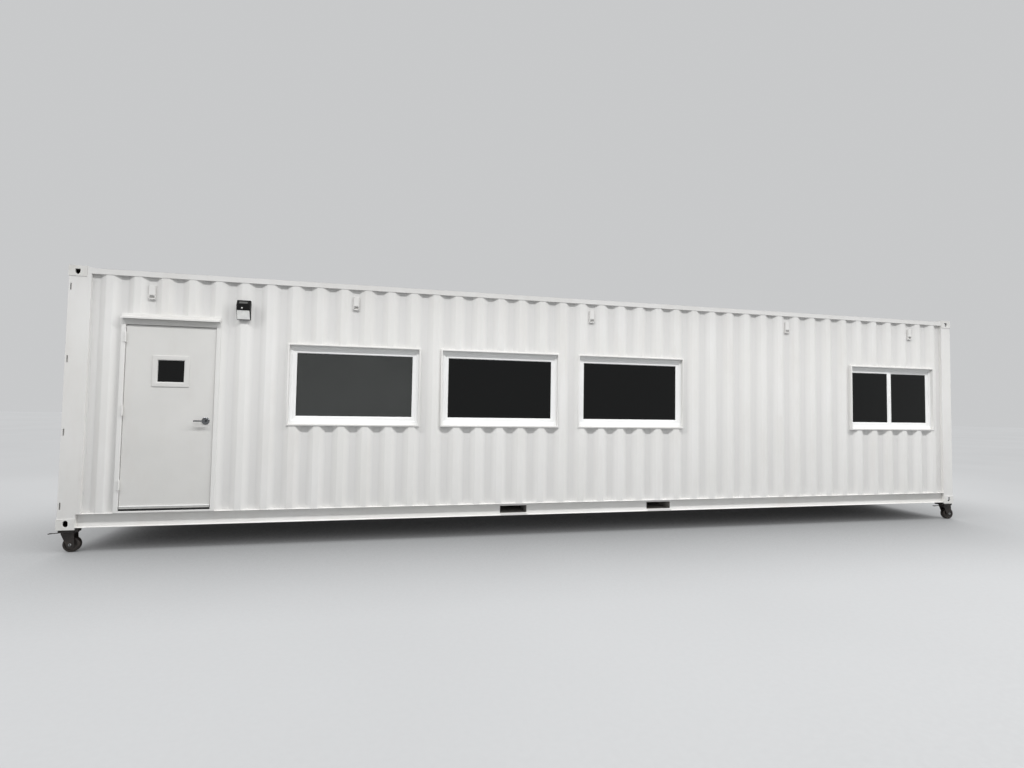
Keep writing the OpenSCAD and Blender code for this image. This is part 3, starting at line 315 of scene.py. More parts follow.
def dressed(name, node, width, material=None, segments=2):
    """The CAD node's own shape with rounded edges, in place of the node."""
    slot = slot_of[node]
    obj = piece(name, merged(node), material or finish_of[slot], body_of[node], slot, node)
    return rounded(obj, width, segments)


def box(mesh, low, high):
    """Adds a box with outward faces."""
    made = bmesh.ops.create_cube(mesh, size=1.0)["verts"]
    low, high = Vector(low), Vector(high)
    for v in made:
        v.co = Vector([low[i] + (v.co[i] + 0.5) * (high[i] - low[i]) for i in range(3)])


def in_metres(profile):
    """A turned profile of (radius, height) in millimetres, in metres."""
    return [(r * MM, h * MM) for r, h in profile]


def facing(x, y, z, out=1):
    """A place whose own Z points to -Y, out of the front wall, or to +Y where out is -1."""
    return Matrix.Translation((x, y, z)) @ Matrix.Rotation(out * math.pi / 2, 4, "X")


def across(x):
    """The place at x whose own X, Y and Z are the model's Y, Z and X."""
    return Matrix(((0, 0, 1, x), (1, 0, 0, 0), (0, 1, 0, 0), (0, 0, 0, 1)))


def turned(mesh, profile, place, steps):
    """Adds a turned shape: the closed or pole-to-pole profile of (radius, height) goes round the
    place's own Z in that many steps."""
    rings = []
    for i in range(steps):
        a = math.tau * i / steps
        rings.append([mesh.verts.new(place @ Vector((r * math.cos(a), r * math.sin(a), h)))
                      for r, h in profile])
    closed = profile[0][0] > 0 and profile[-1][0] > 0
    faces = []
    for i in range(steps):
        near, far = rings[i], rings[(i + 1) % steps]
        for k in range(len(profile) - (0 if closed else 1)):
            n = (k + 1) % len(profile)
            faces.append(mesh.faces.new((near[k], far[k], far[n], near[n])))
    verts = [v for ring in rings for v in ring]
    bmesh.ops.remove_doubles(mesh, verts=verts, dist=SAME_POINT)
    faces = [f for f in faces if f.is_valid]
    bmesh.ops.recalc_face_normals(mesh, faces=faces)


def extruded(mesh, outline, place, length):
    """Adds a prism: the outline of (x, y) points, drawn out along the place's own Z."""
    low = [mesh.verts.new(place @ Vector((x, y, 0))) for x, y in outline]
    high = [mesh.verts.new(place @ Vector((x, y, length))) for x, y in outline]
    count = len(outline)
    faces = [mesh.faces.new(low[::-1]), mesh.faces.new(high)]
    for i in range(count):
        n = (i + 1) % count
        faces.append(mesh.faces.new((low[i], low[n], high[n], high[i])))
    bmesh.ops.recalc_face_normals(mesh, faces=faces)


def mitred(mesh, x0, x1, z0, z1, profile, y=0.0, sill=0.0, head=0.0, left=0.0):
    """Adds a frame standing in the wall: the closed profile of (inset, depth, share) in
    millimetres goes round the rectangle with mitred corners. At share 1 the lower member is
    taller by the sill, the upper member by the head, and the left one is wider by left."""
    rings = []
    for inset, depth, share in profile:
        a, b = x0 + (inset + share * left) * MM, x1 - inset * MM
        c, d = z0 + (inset + share * sill) * MM, z1 - (inset + share * head) * MM
        rings.append([mesh.verts.new((x, y + depth * MM, z))
                      for x, z in ((a, c), (b, c), (b, d), (a, d))])
    faces = []
    for k, ring in enumerate(rings):
        after = rings[(k + 1) % len(rings)]
        for i in range(4):
            n = (i + 1) % 4
            faces.append(mesh.faces.new((ring[i], ring[n], after[n], after[i])))
    bmesh.ops.recalc_face_normals(mesh, faces=faces)


def sliced(node, cuts, axis, gap):
    """A copy of a CAD slab, cut into boards with open joints of that gap in millimetres."""
    normal = AXES[axis]
    whole, joined = merged(node), bmesh.new()
    data = bpy.data.meshes.new("board")
    whole.to_mesh(data)
    whole.free()
    for a, b in zip(cuts, cuts[1:]):
        board = bmesh.new()
        board.from_mesh(data)
        for at, side in ((a + gap * MM / 2, -1), (b - gap * MM / 2, 1)):
            cut = bmesh.ops.bisect_plane(
                board, geom=board.verts[:] + board.edges[:] + board.faces[:],
                plane_co=normal * at, plane_no=normal * side, clear_outer=True)["geom_cut"]
            rim = [e for e in cut if isinstance(e, bmesh.types.BMEdge)]
            if rim:
                bmesh.ops.triangle_fill(board, edges=rim, use_dissolve=True)
        bmesh.ops.recalc_face_normals(board, faces=board.faces)
        part = bpy.data.meshes.new("part")
        board.to_mesh(part)
        board.free()
        joined.from_mesh(part)
        bpy.data.meshes.remove(part)
    bpy.data.meshes.remove(data)
    return joined


# Geometry Nodes

def rule(name, sockets):
    """A Geometry Nodes tree with those named inputs, and the sockets that give them."""
    tree = bpy.data.node_groups.new(name, "GeometryNodeTree")
    tree.interface.new_socket("Geometry", in_out="OUTPUT", socket_type="NodeSocketGeometry")
    for label, kind in sockets.items():
        tree.interface.new_socket(label, in_out="INPUT", socket_type="NodeSocket" + kind)
    return tree, add(tree, "NodeGroupInput").outputs


def end_rule(tree, shape, finish_input):
    """Ends a rule: its instances are made real, and the whole shape takes the finish."""
    real = add(tree, "GeometryNodeRealizeInstances", {0: shape})
    painted = add(tree, "GeometryNodeSetMaterial", {"Geometry": real, "Material": finish_input})
    add(tree, "NodeGroupOutput", {0: painted})
    return tree


def ruled(name, tree, values, source=None):
    """The plain mesh that the tree makes from its values and, if given, a source mesh."""
    obj = bpy.data.objects.new(name, source or bpy.data.meshes.new(name))
    bpy.context.scene.collection.objects.link(obj)
    modifier = obj.modifiers.new("rule", "NODES")
    modifier.node_group = tree
    for item in tree.interface.items_tree:
        if item.in_out == "INPUT" and item.name in values:
            modifier[item.identifier] = values[item.name]
    graph = bpy.context.evaluated_depsgraph_get()
    data = bpy.data.meshes.new_from_object(obj.evaluated_get(graph), depsgraph=graph)
    data.name = name
    obj.modifiers.clear()
    bpy.data.objects.remove(obj)
    return data


# A fade of more than a millimetre counts as one
FADE_STEEPNESS = -1000.0


def corrugated_rule():
    """A corrugated sheet along X, standing in Z, with its crests towards -Y. The trapezoid wave
    has rolled bends, and it dies away to flat within Fade of the upper and lower edges."""
    sizes = ("Start", "End", "Low", "High", "Step", "Wave Start", "Pitch", "Crest", "Slope",
             "Depth", "Bend", "Fade")
    tree, given = rule("corrugated_sheet",
                       {**dict.fromkeys(sizes, "Float"), "Finish": "Material"})
    at = add(tree, "ShaderNodeSeparateXYZ", {0: add(tree, "GeometryNodeInputPosition")}).outputs
    known = {**{size: given[size] for size in sizes}, "grid x": at[0], "grid y": at[1]}
    # Each line names a step, its operation, and the steps, sizes or numbers that it takes
    for step, operation, *values in (
            ("length", "SUBTRACT", "End", "Start"),
            ("height", "SUBTRACT", "High", "Low"),
            ("steps", "DIVIDE", "length", "Step"),
            ("columns", "CEIL", "steps"),
            ("middle x", "MULTIPLY_ADD", "length", 0.5, "Start"),
            ("x", "ADD", "grid x", "middle x"),
            # Four rows of points, 0 to 3: the two edges, and where the wave reaches its full depth
            ("up", "DIVIDE", "grid y", "height"),
            ("share", "ADD", "up", 0.5),
            ("row", "MULTIPLY", "share", 3.0),
            ("below", "MINIMUM", "row", 1.0),
            ("between", "SUBTRACT", "row", 1.0),
            ("above", "SUBTRACT", "row", 2.0),
            ("inner height", "MULTIPLY_ADD", "Fade", -2.0, "height"),
            ("inner z", "MULTIPLY_ADD", "between", "inner height", "Low"),
            ("edges", "ADD", "below", "above"),
            ("z", "MULTIPLY_ADD", "edges", "Fade", "inner z"),
            # The wave: how far a point is from its crest's middle line, and so how high it rises
            ("run", "SUBTRACT", "x", "Wave Start"),
            ("turns", "DIVIDE", "run", "Pitch"),
            ("turn", "FRACT", "turns"),
            ("off crest", "SUBTRACT", "turn", 0.5),
            ("either side", "ABSOLUTE", "off crest"),
            ("away", "MULTIPLY", "either side", "Pitch"),
            ("foot", "MULTIPLY_ADD", "Crest", 0.5, "Slope"),
            ("short of foot", "SUBTRACT", "foot", "away"),
            ("rise", "DIVIDE", "short of foot", "Slope"),
            ("capped", "SMOOTH_MIN", "rise", 1.0, "Bend"),
            ("wave", "SMOOTH_MAX", "capped", 0.0, "Bend"),
            # Flat at the edges, or not where there is no fade
            ("unfaded", "MULTIPLY_ADD", "Fade", FADE_STEEPNESS, 1.0),
            ("inside", "SUBTRACT", "below", "above"),
            ("fading", "MAXIMUM", "inside", "unfaded"),
            ("full depth", "MULTIPLY", "wave", "Depth"),
            ("depth", "MULTIPLY", "full depth", "fading"),
            ("y", "MULTIPLY", "depth", -1.0)):
        known[step] = add(tree, "ShaderNodeMath",
                          {i: known.get(value, value) for i, value in enumerate(values)},
                          operation=operation, use_clamp=step in ("between", "above", "unfaded"))
    grid = add(tree, "GeometryNodeMeshGrid", {
        "Size X": known["length"], "Size Y": known["height"], "Vertices X": known["columns"],
        "Vertices Y": 4})
    place = add(tree, "ShaderNodeCombineXYZ", {0: known["x"], 1: known["y"], 2: known["z"]})
    sheet = add(tree, "GeometryNodeSetPosition",
                {"Geometry": grid.outputs["Mesh"], "Position": place})
    return end_rule(tree, sheet, given["Finish"])


# A head's crown against its radius, and its washer's thickness against its height
CROWN, WASHER_T = 0.78, 0.3
WASHER_SIDES = 20


def fastener_rule():
    """A screw or bolt head with its washer on every point of the source mesh."""
    tree, given = rule("fasteners", {
        "Places": "Geometry", "Turn": "Rotation", "Radius": "Float", "Height": "Float",
        "Sides": "Int", "Washer": "Float", "Finish": "Material"})
    crown = add(tree, "ShaderNodeMath", {0: given["Radius"], 1: CROWN}, operation="MULTIPLY")
    head = add(tree, "GeometryNodeMeshCone", {
        "Vertices": given["Sides"], "Radius Top": crown, "Radius Bottom": given["Radius"],
        "Depth": given["Height"]})
    thin = add(tree, "ShaderNodeMath", {0: given["Height"], 1: WASHER_T}, operation="MULTIPLY")
    washer = add(tree, "GeometryNodeMeshCylinder", {
        "Vertices": WASHER_SIDES, "Radius": given["Washer"], "Depth": thin})
    both = add(tree, "GeometryNodeJoinGeometry")
    tree.links.new(head.outputs["Mesh"], both.inputs[0])
    tree.links.new(washer.outputs["Mesh"], both.inputs[0])
    heads = add(tree, "GeometryNodeInstanceOnPoints", {
        "Points": given["Places"], "Instance": both, "Rotation": given["Turn"]})
    return end_rule(tree, heads, given["Finish"])


# A bead has eight sides, its ripples are about 7 mm apart, and its width swells and shrinks
BEAD_SIDES, RIPPLES_PER_M = 8, 140.0
BEAD_THIN, BEAD_THICK = 0.8, 1.2


def bead_rule():
    """A weld bead along the edges of the source mesh, with ripples and an uneven width."""
    tree, given = rule("weld_bead", {
        "Seam": "Geometry", "Radius": "Float", "Step": "Float", "Finish": "Material"})
    curve = add(tree, "GeometryNodeMeshToCurve", {"Mesh": given["Seam"]})
    points = add(tree, "GeometryNodeResampleCurve", {"Curve": curve, "Length": given["Step"]},
                 mode="LENGTH")
    noise = add(tree, "ShaderNodeTexNoise", {"Scale": RIPPLES_PER_M, "Detail": 1.0})
    swell = add(tree, "ShaderNodeMapRange",
                {0: noise, 1: GRAIN_FROM, 2: GRAIN_TO, 3: BEAD_THIN, 4: BEAD_THICK})
    circle = add(tree, "GeometryNodeCurvePrimitiveCircle",
                 {"Resolution": BEAD_SIDES, "Radius": given["Radius"]})
    bead = add(tree, "GeometryNodeCurveToMesh", {
        "Curve": points, "Profile Curve": circle, "Scale": swell, "Fill Caps": True})
    return end_rule(tree, bead, given["Finish"])


def slat_rule():
    """Equal slats in a row: Count of them, Pitch apart, each of Size and tilted about its own
    length."""
    tree, given = rule("slats", {
        "First": "Vector", "Pitch": "Vector", "Count": "Int", "Size": "Vector", "Tilt": "Rotation",
        "Finish": "Material"})
    row = add(tree, "GeometryNodeMeshLine", {
        "Count": given["Count"], "Start Location": given["First"], "Offset": given["Pitch"]})
    slat = add(tree, "GeometryNodeMeshCube", {"Size": given["Size"]})
    slats = add(tree, "GeometryNodeInstanceOnPoints", {
        "Points": row, "Instance": slat.outputs["Mesh"], "Rotation": given["Tilt"]})
    return end_rule(tree, slats, given["Finish"])


# Corrugated sheets

sheets = corrugated_rule()
surrounds = islands("window_surrounds")
casting_boxes = islands("corner_castings")
casting_top, casting_foot = casting_boxes[0][1].z, casting_boxes[1][0].z
# Metres, but for Bend, a share of the depth. Crest is a crest's whole width, and Slope the width
# of each flank
SIDE_WAVE = {"Pitch": 0.279, "Crest": 0.072, "Slope": 0.068, "Depth": 0.036, "Bend": 0.2,
             "Step": 0.003, "Fade": 0.0, "Finish": wall_enamel}
END_WAVE = {"Pitch": 0.25, "Crest": 0.107, "Slope": 0.018, "Depth": 0.045, "Bend": 0.2,
            "Step": 0.002, "Fade": 0.0, "Finish": white_enamel}
ROOF_WAVE = {"Pitch": 0.209, "Crest": 0.0895, "Slope": 0.015, "Depth": 0.015, "Bend": 0.3,
             "Step": 0.0025, "Fade": 0.07, "Finish": white_enamel}
SHEET = 2 * MM
# How far from an opening the faces lie that its edges may cut
CUT_REACH = 0.05


def sheet(name, node, wave, start, end, low, high, wave_start, place, openings=()):
    """A corrugated sheet in place of its CAD node, with the openings cut out."""
    data = ruled(name, sheets, {**wave, "Start": start, "End": end, "Low": low, "High": high,
                                "Wave Start": wave_start})
    mesh = bmesh.new()
    mesh.from_mesh(data)
    bpy.data.meshes.remove(data)
    bmesh.ops.remove_doubles(mesh, verts=mesh.verts, dist=SAME_POINT)
    for a, b in openings:
        for at, axis in ((a.x, 0), (b.x, 0), (a.z, 2), (b.z, 2)):
            near = [f for f in mesh.faces
                    if a.x - CUT_REACH < f.calc_center_median().x < b.x + CUT_REACH]
            geom = dict.fromkeys(near)
            for face in near:
                geom.update(dict.fromkeys([*face.edges, *face.verts]))
            bmesh.ops.bisect_plane(mesh, geom=list(geom), plane_co=AXES[axis] * at,
                                   plane_no=AXES[axis])
        inside = [f for f in mesh.faces if a.x < f.calc_center_median().x < b.x
                  and a.z < f.calc_center_median().z < b.z]
        bmesh.ops.delete(mesh, geom=inside, context="FACES")
    bmesh.ops.transform(mesh, matrix=place, verts=mesh.verts)
    bmesh.ops.solidify(mesh, geom=mesh.faces[:], thickness=SHEET)
    return piece(name, mesh, wave["Finish"], body_of[node], slot_of[node], node)


wall_low, wall_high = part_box("back_wall")
valley_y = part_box("front_wall_right")[0].y + SIDE_WAVE["Depth"]
waves = math.floor((wall_high.x - wall_low.x) / SIDE_WAVE["Pitch"])
wave_x0 = (wall_low.x + wall_high.x - waves * SIDE_WAVE["Pitch"]) / 2
wave_x1 = wave_x0 + waves * SIDE_WAVE["Pitch"]
front_face = Matrix.Translation((0, valley_y, 0))
back_face = Matrix.Translation((0, -valley_y, 0)) @ Matrix.Rotation(math.pi, 4, "Z")

for name, node in (("wall_sheet_left", "front_wall_left"),
                   ("wall_sheet_over_door", "front_wall_over_door"),
                   ("wall_sheet_right", "front_wall_right")):
    low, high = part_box(node)
    cuts = surrounds if node == "front_wall_right" else ()
    sheet(name, node, SIDE_WAVE, low.x, high.x, low.z, high.z, wave_x0, front_face, cuts)
sheet("wall_sheet_back", "back_wall", SIDE_WAVE, -wall_high.x, -wall_low.x, wall_low.z,
      wall_high.z, -wave_x1, back_face)

low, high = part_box("end_wall")
end_waves = math.floor((high.y - low.y) / END_WAVE["Pitch"])
end_face = Matrix.Translation((high.x - END_WAVE["Depth"], 0, 0)) @ Matrix.Rotation(
    math.pi / 2, 4, "Z")
# The end sheet reaches the header, and is cut out round the upper castings
notches = [(Vector((a.y, 0, a.z)), Vector((b.y, 0, b.z))) for a, b in casting_boxes
           if a.x > 0 and a.z > low.z]
sheet("wall_sheet_end", "end_wall", END_WAVE, low.y, high.y, low.z, high.z,
      -end_waves * END_WAVE["Pitch"] / 2, end_face, notches)

low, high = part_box("roof_sheet")
roof_waves = math.floor((high.x - low.x) / ROOF_WAVE["Pitch"])
roof_face = Matrix.Translation((0, 0, low.z + SHEET)) @ Matrix.Rotation(-math.pi / 2, 4, "X")
sheet("roof_panel", "roof_sheet", ROOF_WAVE, low.x, high.x, low.y, high.y,
      -roof_waves * ROOF_WAVE["Pitch"] / 2, roof_face)


# Frame, floor and linings

castings = dressed("castings", "corner_castings", 4, casting_enamel, 3)
castings.data.materials.append(casting_shade_and_rust)
# A face deeper than this from a casting's sides, and from its top or foot, is inside it and takes the painted
# shade
CASTING_WALL, CASTING_FLOOR = 13.9 * MM, 6.9 * MM
for face in castings.data.polygons:
    for low, high in casting_boxes:
        deep = [min(face.center[i] - low[i], high[i] - face.center[i]) for i in range(3)]
        if deep[0] > CASTING_WALL and deep[1] > CASTING_WALL and deep[2] > CASTING_FLOOR:
            face.material_index = 1
dressed("posts", "corner_posts", 6, segments=3)
dressed("top_rails", "top_side_rails", 5, segments=3)
dressed("bottom_rails", "bottom_side_rails", 2.5)
dressed("end_frames", "end_rails", 5, segments=3)

# The sills run on over the castings, as far as the posts
post_boxes = islands("corner_posts")
post_inside = min(abs(corner.y) for pair in post_boxes for corner in pair)
sill_ends = bmesh.new()
for low, high in islands("end_rails"):
    if low.z < casting_top:
        for y0, y1 in ((-post_inside, low.y), (high.y, post_inside)):
            box(sill_ends, (low.x, y0, casting_top), (high.x, y1, high.z))
rounded(piece("sill_ends", sill_ends, white_enamel, "cabin", "white_enamel"), 1.5)

dressed("bearers", "cross_members", 2)
dressed("fork_tunnels", "fork_pockets", 2)
dressed("roof_end_plates", "roof_corner_plates", 1.5)
dressed("cargo_leaves", "cargo_doors", 3)
dressed("cargo_butts", "cargo_door_hinges", 1.5)
dressed("rods_and_keepers", "lock_rods", 2)
dressed("jambs_and_head", "door_frame", 2.5)
dressed("drip_bar", "drip_cap", 0.8)
dressed("door_sill", "threshold", 1.2)
dressed("end_boards", "end_linings", 1.0)

BOARD, PAST_END = 1.2, 0.01
DECK_GAP, BOARD_GAP = 1.5, 3


def board_cuts(node):
    """Joints a board's width apart along X, over the node's own length."""
    low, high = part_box(node)
    count = math.ceil((high.x - low.x) / BOARD)
    joints = [low.x + i * BOARD for i in range(1, count)]
    return [low.x - PAST_END] + joints + [high.x + PAST_END]


for name, node, gap in (("floor_boards", "floor_deck", DECK_GAP),
                        ("back_boards", "back_lining", BOARD_GAP),
                        ("front_boards", "front_lining_right", BOARD_GAP),
                        ("door_side_board", "front_lining_left", BOARD_GAP),
                        ("over_door_board", "front_lining_over_door", BOARD_GAP),
                        ("ceiling_boards", "ceiling_lining", BOARD_GAP)):
    boards = piece(name, sliced(node, board_cuts(node), 0, gap), finish_of[slot_of[node]],
                   body_of[node], slot_of[node], node)
    rounded(boards, 1.0, 1)


# Windows

SURROUND = [(0, 45, 0), (0, 3, 0), (1, 1, 0), (3, 0, 0), (17, 0, 0), (19, 1, 0), (20, 3, 0),
            (20, 45, 0)]
# Over its outer part, a member takes up this share of the height that sill and head add
OUTER_SHARE = 0.6
OUTER_MEMBER = [(0, 63, 0), (0, 1.5, 0), (1.5, 0, 0), (27, 0, OUTER_SHARE),
                (29, 0.6, OUTER_SHARE)]
VINYL = OUTER_MEMBER + [(31, 3, OUTER_SHARE), (33, 7.5, OUTER_SHARE), (36, 9, OUTER_SHARE),
                        (69, 9, 1), (72, 10, 1), (79, 17, 1), (80, 19, 1), (80, 63, 1)]
VINYL_FACE = 80
GASKET = [(78.5, 16, 1), (82.5, 16.5, 1), (83.5, 18, 1), (83.5, 21, 1), (78.5, 21, 1)]
TRACK_FACE = 30
SLIDER_TRACK = OUTER_MEMBER + [(TRACK_FACE, 2, OUTER_SHARE), (TRACK_FACE, 63, OUTER_SHARE)]
SASH_FACE = 50
SASH = [(0, 42, 0), (0, 1, 0), (1, 0, 0), (41, 0, 1), (48, 6, 1), (SASH_FACE, 9, 1),
        (SASH_FACE, 42, 1)]
SASH_GASKET = [(48.5, 6, 1), (52, 6.5, 1), (53, 8, 1), (53, 11, 1), (48.5, 11, 1)]
SASH_BACKS = (9 * MM, 16 * MM)
SPACER = [(0, 4.5, 0), (12, 4.5, 0), (12, 13.5, 0), (0, 13.5, 0)]
PANE = 4 * MM
# From the middle of the meeting stiles, and back from the frame's face
HOOK_STRIP_X, HOOK_STRIP_Y = (-8 * MM, 8 * MM), (7 * MM, 40 * MM)
LATCH_X, LATCH_Y, LATCH_HALF_H = (-5 * MM, 7 * MM), (1 * MM, 8 * MM), 40 * MM
# A drain cover's place along the sill and above its foot
COVERS_AT, COVER_UP = (0.18, 0.82), (14 * MM, 22 * MM)
COVER_HALF_W, COVER_OUT = 18 * MM, 2.5 * MM


def glaze(mesh, low, high):
    """Two panes, at the front and the back of the box."""
    box(mesh, low, (high.x, low.y + PANE, high.z))
    box(mesh, (low.x, high.y - PANE, low.z), high)


glass_boxes = islands("window_glass")
frame_boxes = islands("window_frames")
ring, vinyl, rubber, spacers, panes, first_panes = (bmesh.new() for _ in range(6))
for low, high in surrounds:
    mitred(ring, low.x, high.x, low.z, high.z, SURROUND, low.y)
for low, high in frame_boxes:
    around = (low.x, high.x, low.z, high.z)
    glazed = [g for g in glass_boxes if low.x < g[0].x < high.x]
    sill = (glazed[0][0].z - low.z) / MM - VINYL_FACE
    head = (high.z - glazed[0][1].z) / MM - VINYL_FACE
    if len(glazed) == 1:
        mitred(vinyl, *around, VINYL, low.y, sill, head)
        mitred(rubber, *around, GASKET, low.y, sill, head)
        continue
    # The two-part window: a fixed outer member, and two sashes that meet one behind the other.
    # The left sash has a narrower outer stile than the right one
    mitred(vinyl, *around, SLIDER_TRACK, low.y, sill, head)
    sash_foot = low.z + (TRACK_FACE + OUTER_SHARE * sill) * MM
    sash_top = high.z - (TRACK_FACE + OUTER_SHARE * head) * MM
    sash_sill, sash_head = (1 - OUTER_SHARE) * sill, (1 - OUTER_SHARE) * head
    starts = (low.x + TRACK_FACE * MM, glazed[1][0].x - SASH_FACE * MM)
    for (glass_low, glass_high), start, back in zip(glazed, starts, SASH_BACKS):
        around = (start, glass_high.x + SASH_FACE * MM, sash_foot, sash_top)
        narrower = (glass_low.x - start) / MM - SASH_FACE
        mitred(vinyl, *around, SASH, low.y + back, sash_sill, sash_head, narrower)
        mitred(rubber, *around, SASH_GASKET, low.y + back, sash_sill, sash_head, narrower)
    # The hook strip on the front sash's meeting stile, with the latch at half height
    middle, latch_z = (glazed[0][1].x + glazed[1][0].x) / 2, (low.z + high.z) / 2
    for (x0, x1), (y0, y1), z0, z1 in (
            (HOOK_STRIP_X, HOOK_STRIP_Y, sash_foot, sash_top),
            (LATCH_X, LATCH_Y, latch_z - LATCH_HALF_H, latch_z + LATCH_HALF_H)):
        box(vinyl, (middle + x0, low.y + y0, z0), (middle + x1, low.y + y1, z1))
for i, (low, high) in enumerate(glass_boxes):
    glaze(panes if i else first_panes, low, high)
    mitred(spacers, low.x, high.x, low.z, high.z, SPACER, low.y)
piece("window_rings", ring, white_enamel, "cabin", "white_enamel", "window_surrounds")
rounded(piece("window_vinyl", vinyl, white_vinyl, "cabin", "white_vinyl", "window_frames"),
        0.6, 1)
piece("window_gaskets", rubber, gasket_rubber, "cabin", "black_housing")
piece("window_spacers", spacers, mill_aluminium, "cabin", "galvanised_steel")
piece("first_window_panes", first_panes, first_window_glass, "cabin", "dark_glass")
piece("window_panes", panes, tinted_shaded_glass, "cabin", "dark_glass", "window_glass")

# Drain slots with small covers in each sill, two to a window
covers = bmesh.new()
for low, high in frame_boxes:
    for share in COVERS_AT:
        x = low.x + share * (high.x - low.x)
        box(covers, (x - COVER_HALF_W, low.y - COVER_OUT, low.z + COVER_UP[0]),
            (x + COVER_HALF_W, low.y, low.z + COVER_UP[1]))
rounded(piece("drain_covers", covers, white_vinyl, "cabin", "white_vinyl"), 1.2)


# Personnel door

leaf_low, leaf_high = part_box("door_leaf")
frame_low, frame_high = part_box("door_frame")
dressed("leaf", "door_leaf", 1.2)
dressed("hinge_frame_leaves", "hinge_frame_halves", 0.5)
dressed("hinge_door_leaves", "hinge_leaf_halves", 0.5)

# The trim round the door's light clasps the leaf from both faces
LIGHT_TRIM = [(20, 7, 0), (0, 7, 0), (0, 2.5, 0), (2.5, 0.5, 0), (10, 0, 0), (42, 0, 0),
              (47, 1, 0), (54, 7, 0), (55, 9, 0), (55, 50, 0), (54, 52, 0), (47, 58, 0),
              (42, 59, 0), (10, 59, 0), (2.5, 58.5, 0), (0, 56.5, 0), (0, 52, 0), (20, 52, 0)]
LIGHT_GASKET = [(-1, -4, 0), (3, -3.5, 0), (4, -2, 0), (4, 0, 0), (-1, 0, 0)]
trim, light_gasket, bars, lights = (bmesh.new() for _ in range(4))
low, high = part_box("door_light_frame")
mitred(trim, low.x, high.x, low.z, high.z, LIGHT_TRIM, low.y)
low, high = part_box("door_light_glass")
mitred(light_gasket, low.x, high.x, low.z, high.z, LIGHT_GASKET, low.y)
mitred(bars, low.x, high.x, low.z, high.z, SPACER, low.y)
glaze(lights, low, high)
piece("light_trim", trim, door_enamel, "door", "door_enamel", "door_light_frame")
piece("light_gasket", light_gasket, gasket_rubber, "door", "black_housing")
piece("light_spacer", bars, mill_aluminium, "door", "galvanised_steel")
piece("light_panes", lights, tinted_shaded_glass, "door", "dark_glass", "door_light_glass")

# A bulb seal in the frame's rebate, behind the leaf: two sides and the head
SEAL_OUT, SEAL_W, SEAL_OFF_LEAF = 5 * MM, 14 * MM, 0.6 * MM
seal = bmesh.new()
seal_x0, seal_x1 = leaf_low.x - SEAL_OUT, leaf_high.x + SEAL_OUT
seal_top = leaf_high.z + SEAL_OUT
for x0, x1, z0 in ((seal_x0, seal_x0 + SEAL_W, leaf_low.z),
                   (seal_x1 - SEAL_W, seal_x1, leaf_low.z),
                   (seal_x0, seal_x1, seal_top - SEAL_W)):
    box(seal, (x0, leaf_high.y + SEAL_OFF_LEAF, z0), (x1, leaf_high.y + SEAL_OUT, seal_top))
rounded(piece("frame_seal", seal, gasket_rubber, "cabin", "light_grey_seal"), 1.5)

# The sweep: a rubber strip under a bright lip, over bristles that stop short of the threshold
LIP_H, LIP_OUT, BRISTLES_UP, BRISTLES_DOWN = 8 * MM, 1.5 * MM, 10 * MM, 9 * MM
sweep_low, sweep_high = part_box("door_sweep")
lip_z, bristles_z = sweep_high.z - LIP_H, sweep_low.z + BRISTLES_UP
blade_foot = sweep_low.z - BRISTLES_DOWN
strip, lip = bmesh.new(), bmesh.new()
box(strip, (sweep_low.x, sweep_low.y, bristles_z), (sweep_high.x, sweep_high.y, lip_z))
box(lip, (sweep_low.x, sweep_low.y - LIP_OUT, lip_z), sweep_high)
rounded(piece("sweep", strip, sweep_rubber, "door", "light_grey_seal", "door_sweep"), 0.8)
rounded(piece("sweep_lip", lip, white_vinyl, "door", "light_grey_seal"), 0.6)

# A rubber blade under the leaf, behind the sweep, which stops short of the threshold too
BLADE_SHORTER, BLADE_FRONT, BLADE_BACK, BLADE_IN_LEAF = 4 * MM, 6 * MM, 20 * MM, 1 * MM
bottom_seal = bmesh.new()
box(bottom_seal, (leaf_low.x + BLADE_SHORTER, leaf_low.y + BLADE_FRONT, blade_foot),
    (leaf_high.x - BLADE_SHORTER, leaf_low.y + BLADE_BACK, leaf_low.z + BLADE_IN_LEAF))
rounded(piece("bottom_seal", bottom_seal, gasket_rubber, "door", "light_grey_seal"), 1.5)

# Painted hinge plates on the face of the left jamb, one beside each hinge's tall half
JAMB_PLATE, PLATE_OUT, PLATE_IN, TALL_HALF = (16 * MM, 44 * MM), 2 * MM, 1 * MM, 60 * MM
hinge_plates = bmesh.new()
for low, high in islands("hinge_frame_halves"):
    if high.z - low.z > TALL_HALF:
        box(hinge_plates, (frame_low.x + JAMB_PLATE[0], frame_low.y - PLATE_OUT, low.z),
            (frame_low.x + JAMB_PLATE[1], frame_low.y + PLATE_IN, high.z))
rounded(piece("jamb_hinge_plates", hinge_plates, white_enamel, "cabin", "white_enamel"), 0.6)

# Lever set: satin roses with a rolled rim, the lever, its key cylinder, and the latch's plate
ROSE = [(11.05, 0), (42, 0), (42, 1.5), (40.5, 4.5), (37, 7.5), (31, 10), (25, 11.4), (18, 12),
        (13, 12), (11.05, 11.6)]
KEY = [(0, -4), (8.6, -4), (8.6, 0.6), (8, 1.2), (0, 1.2)]
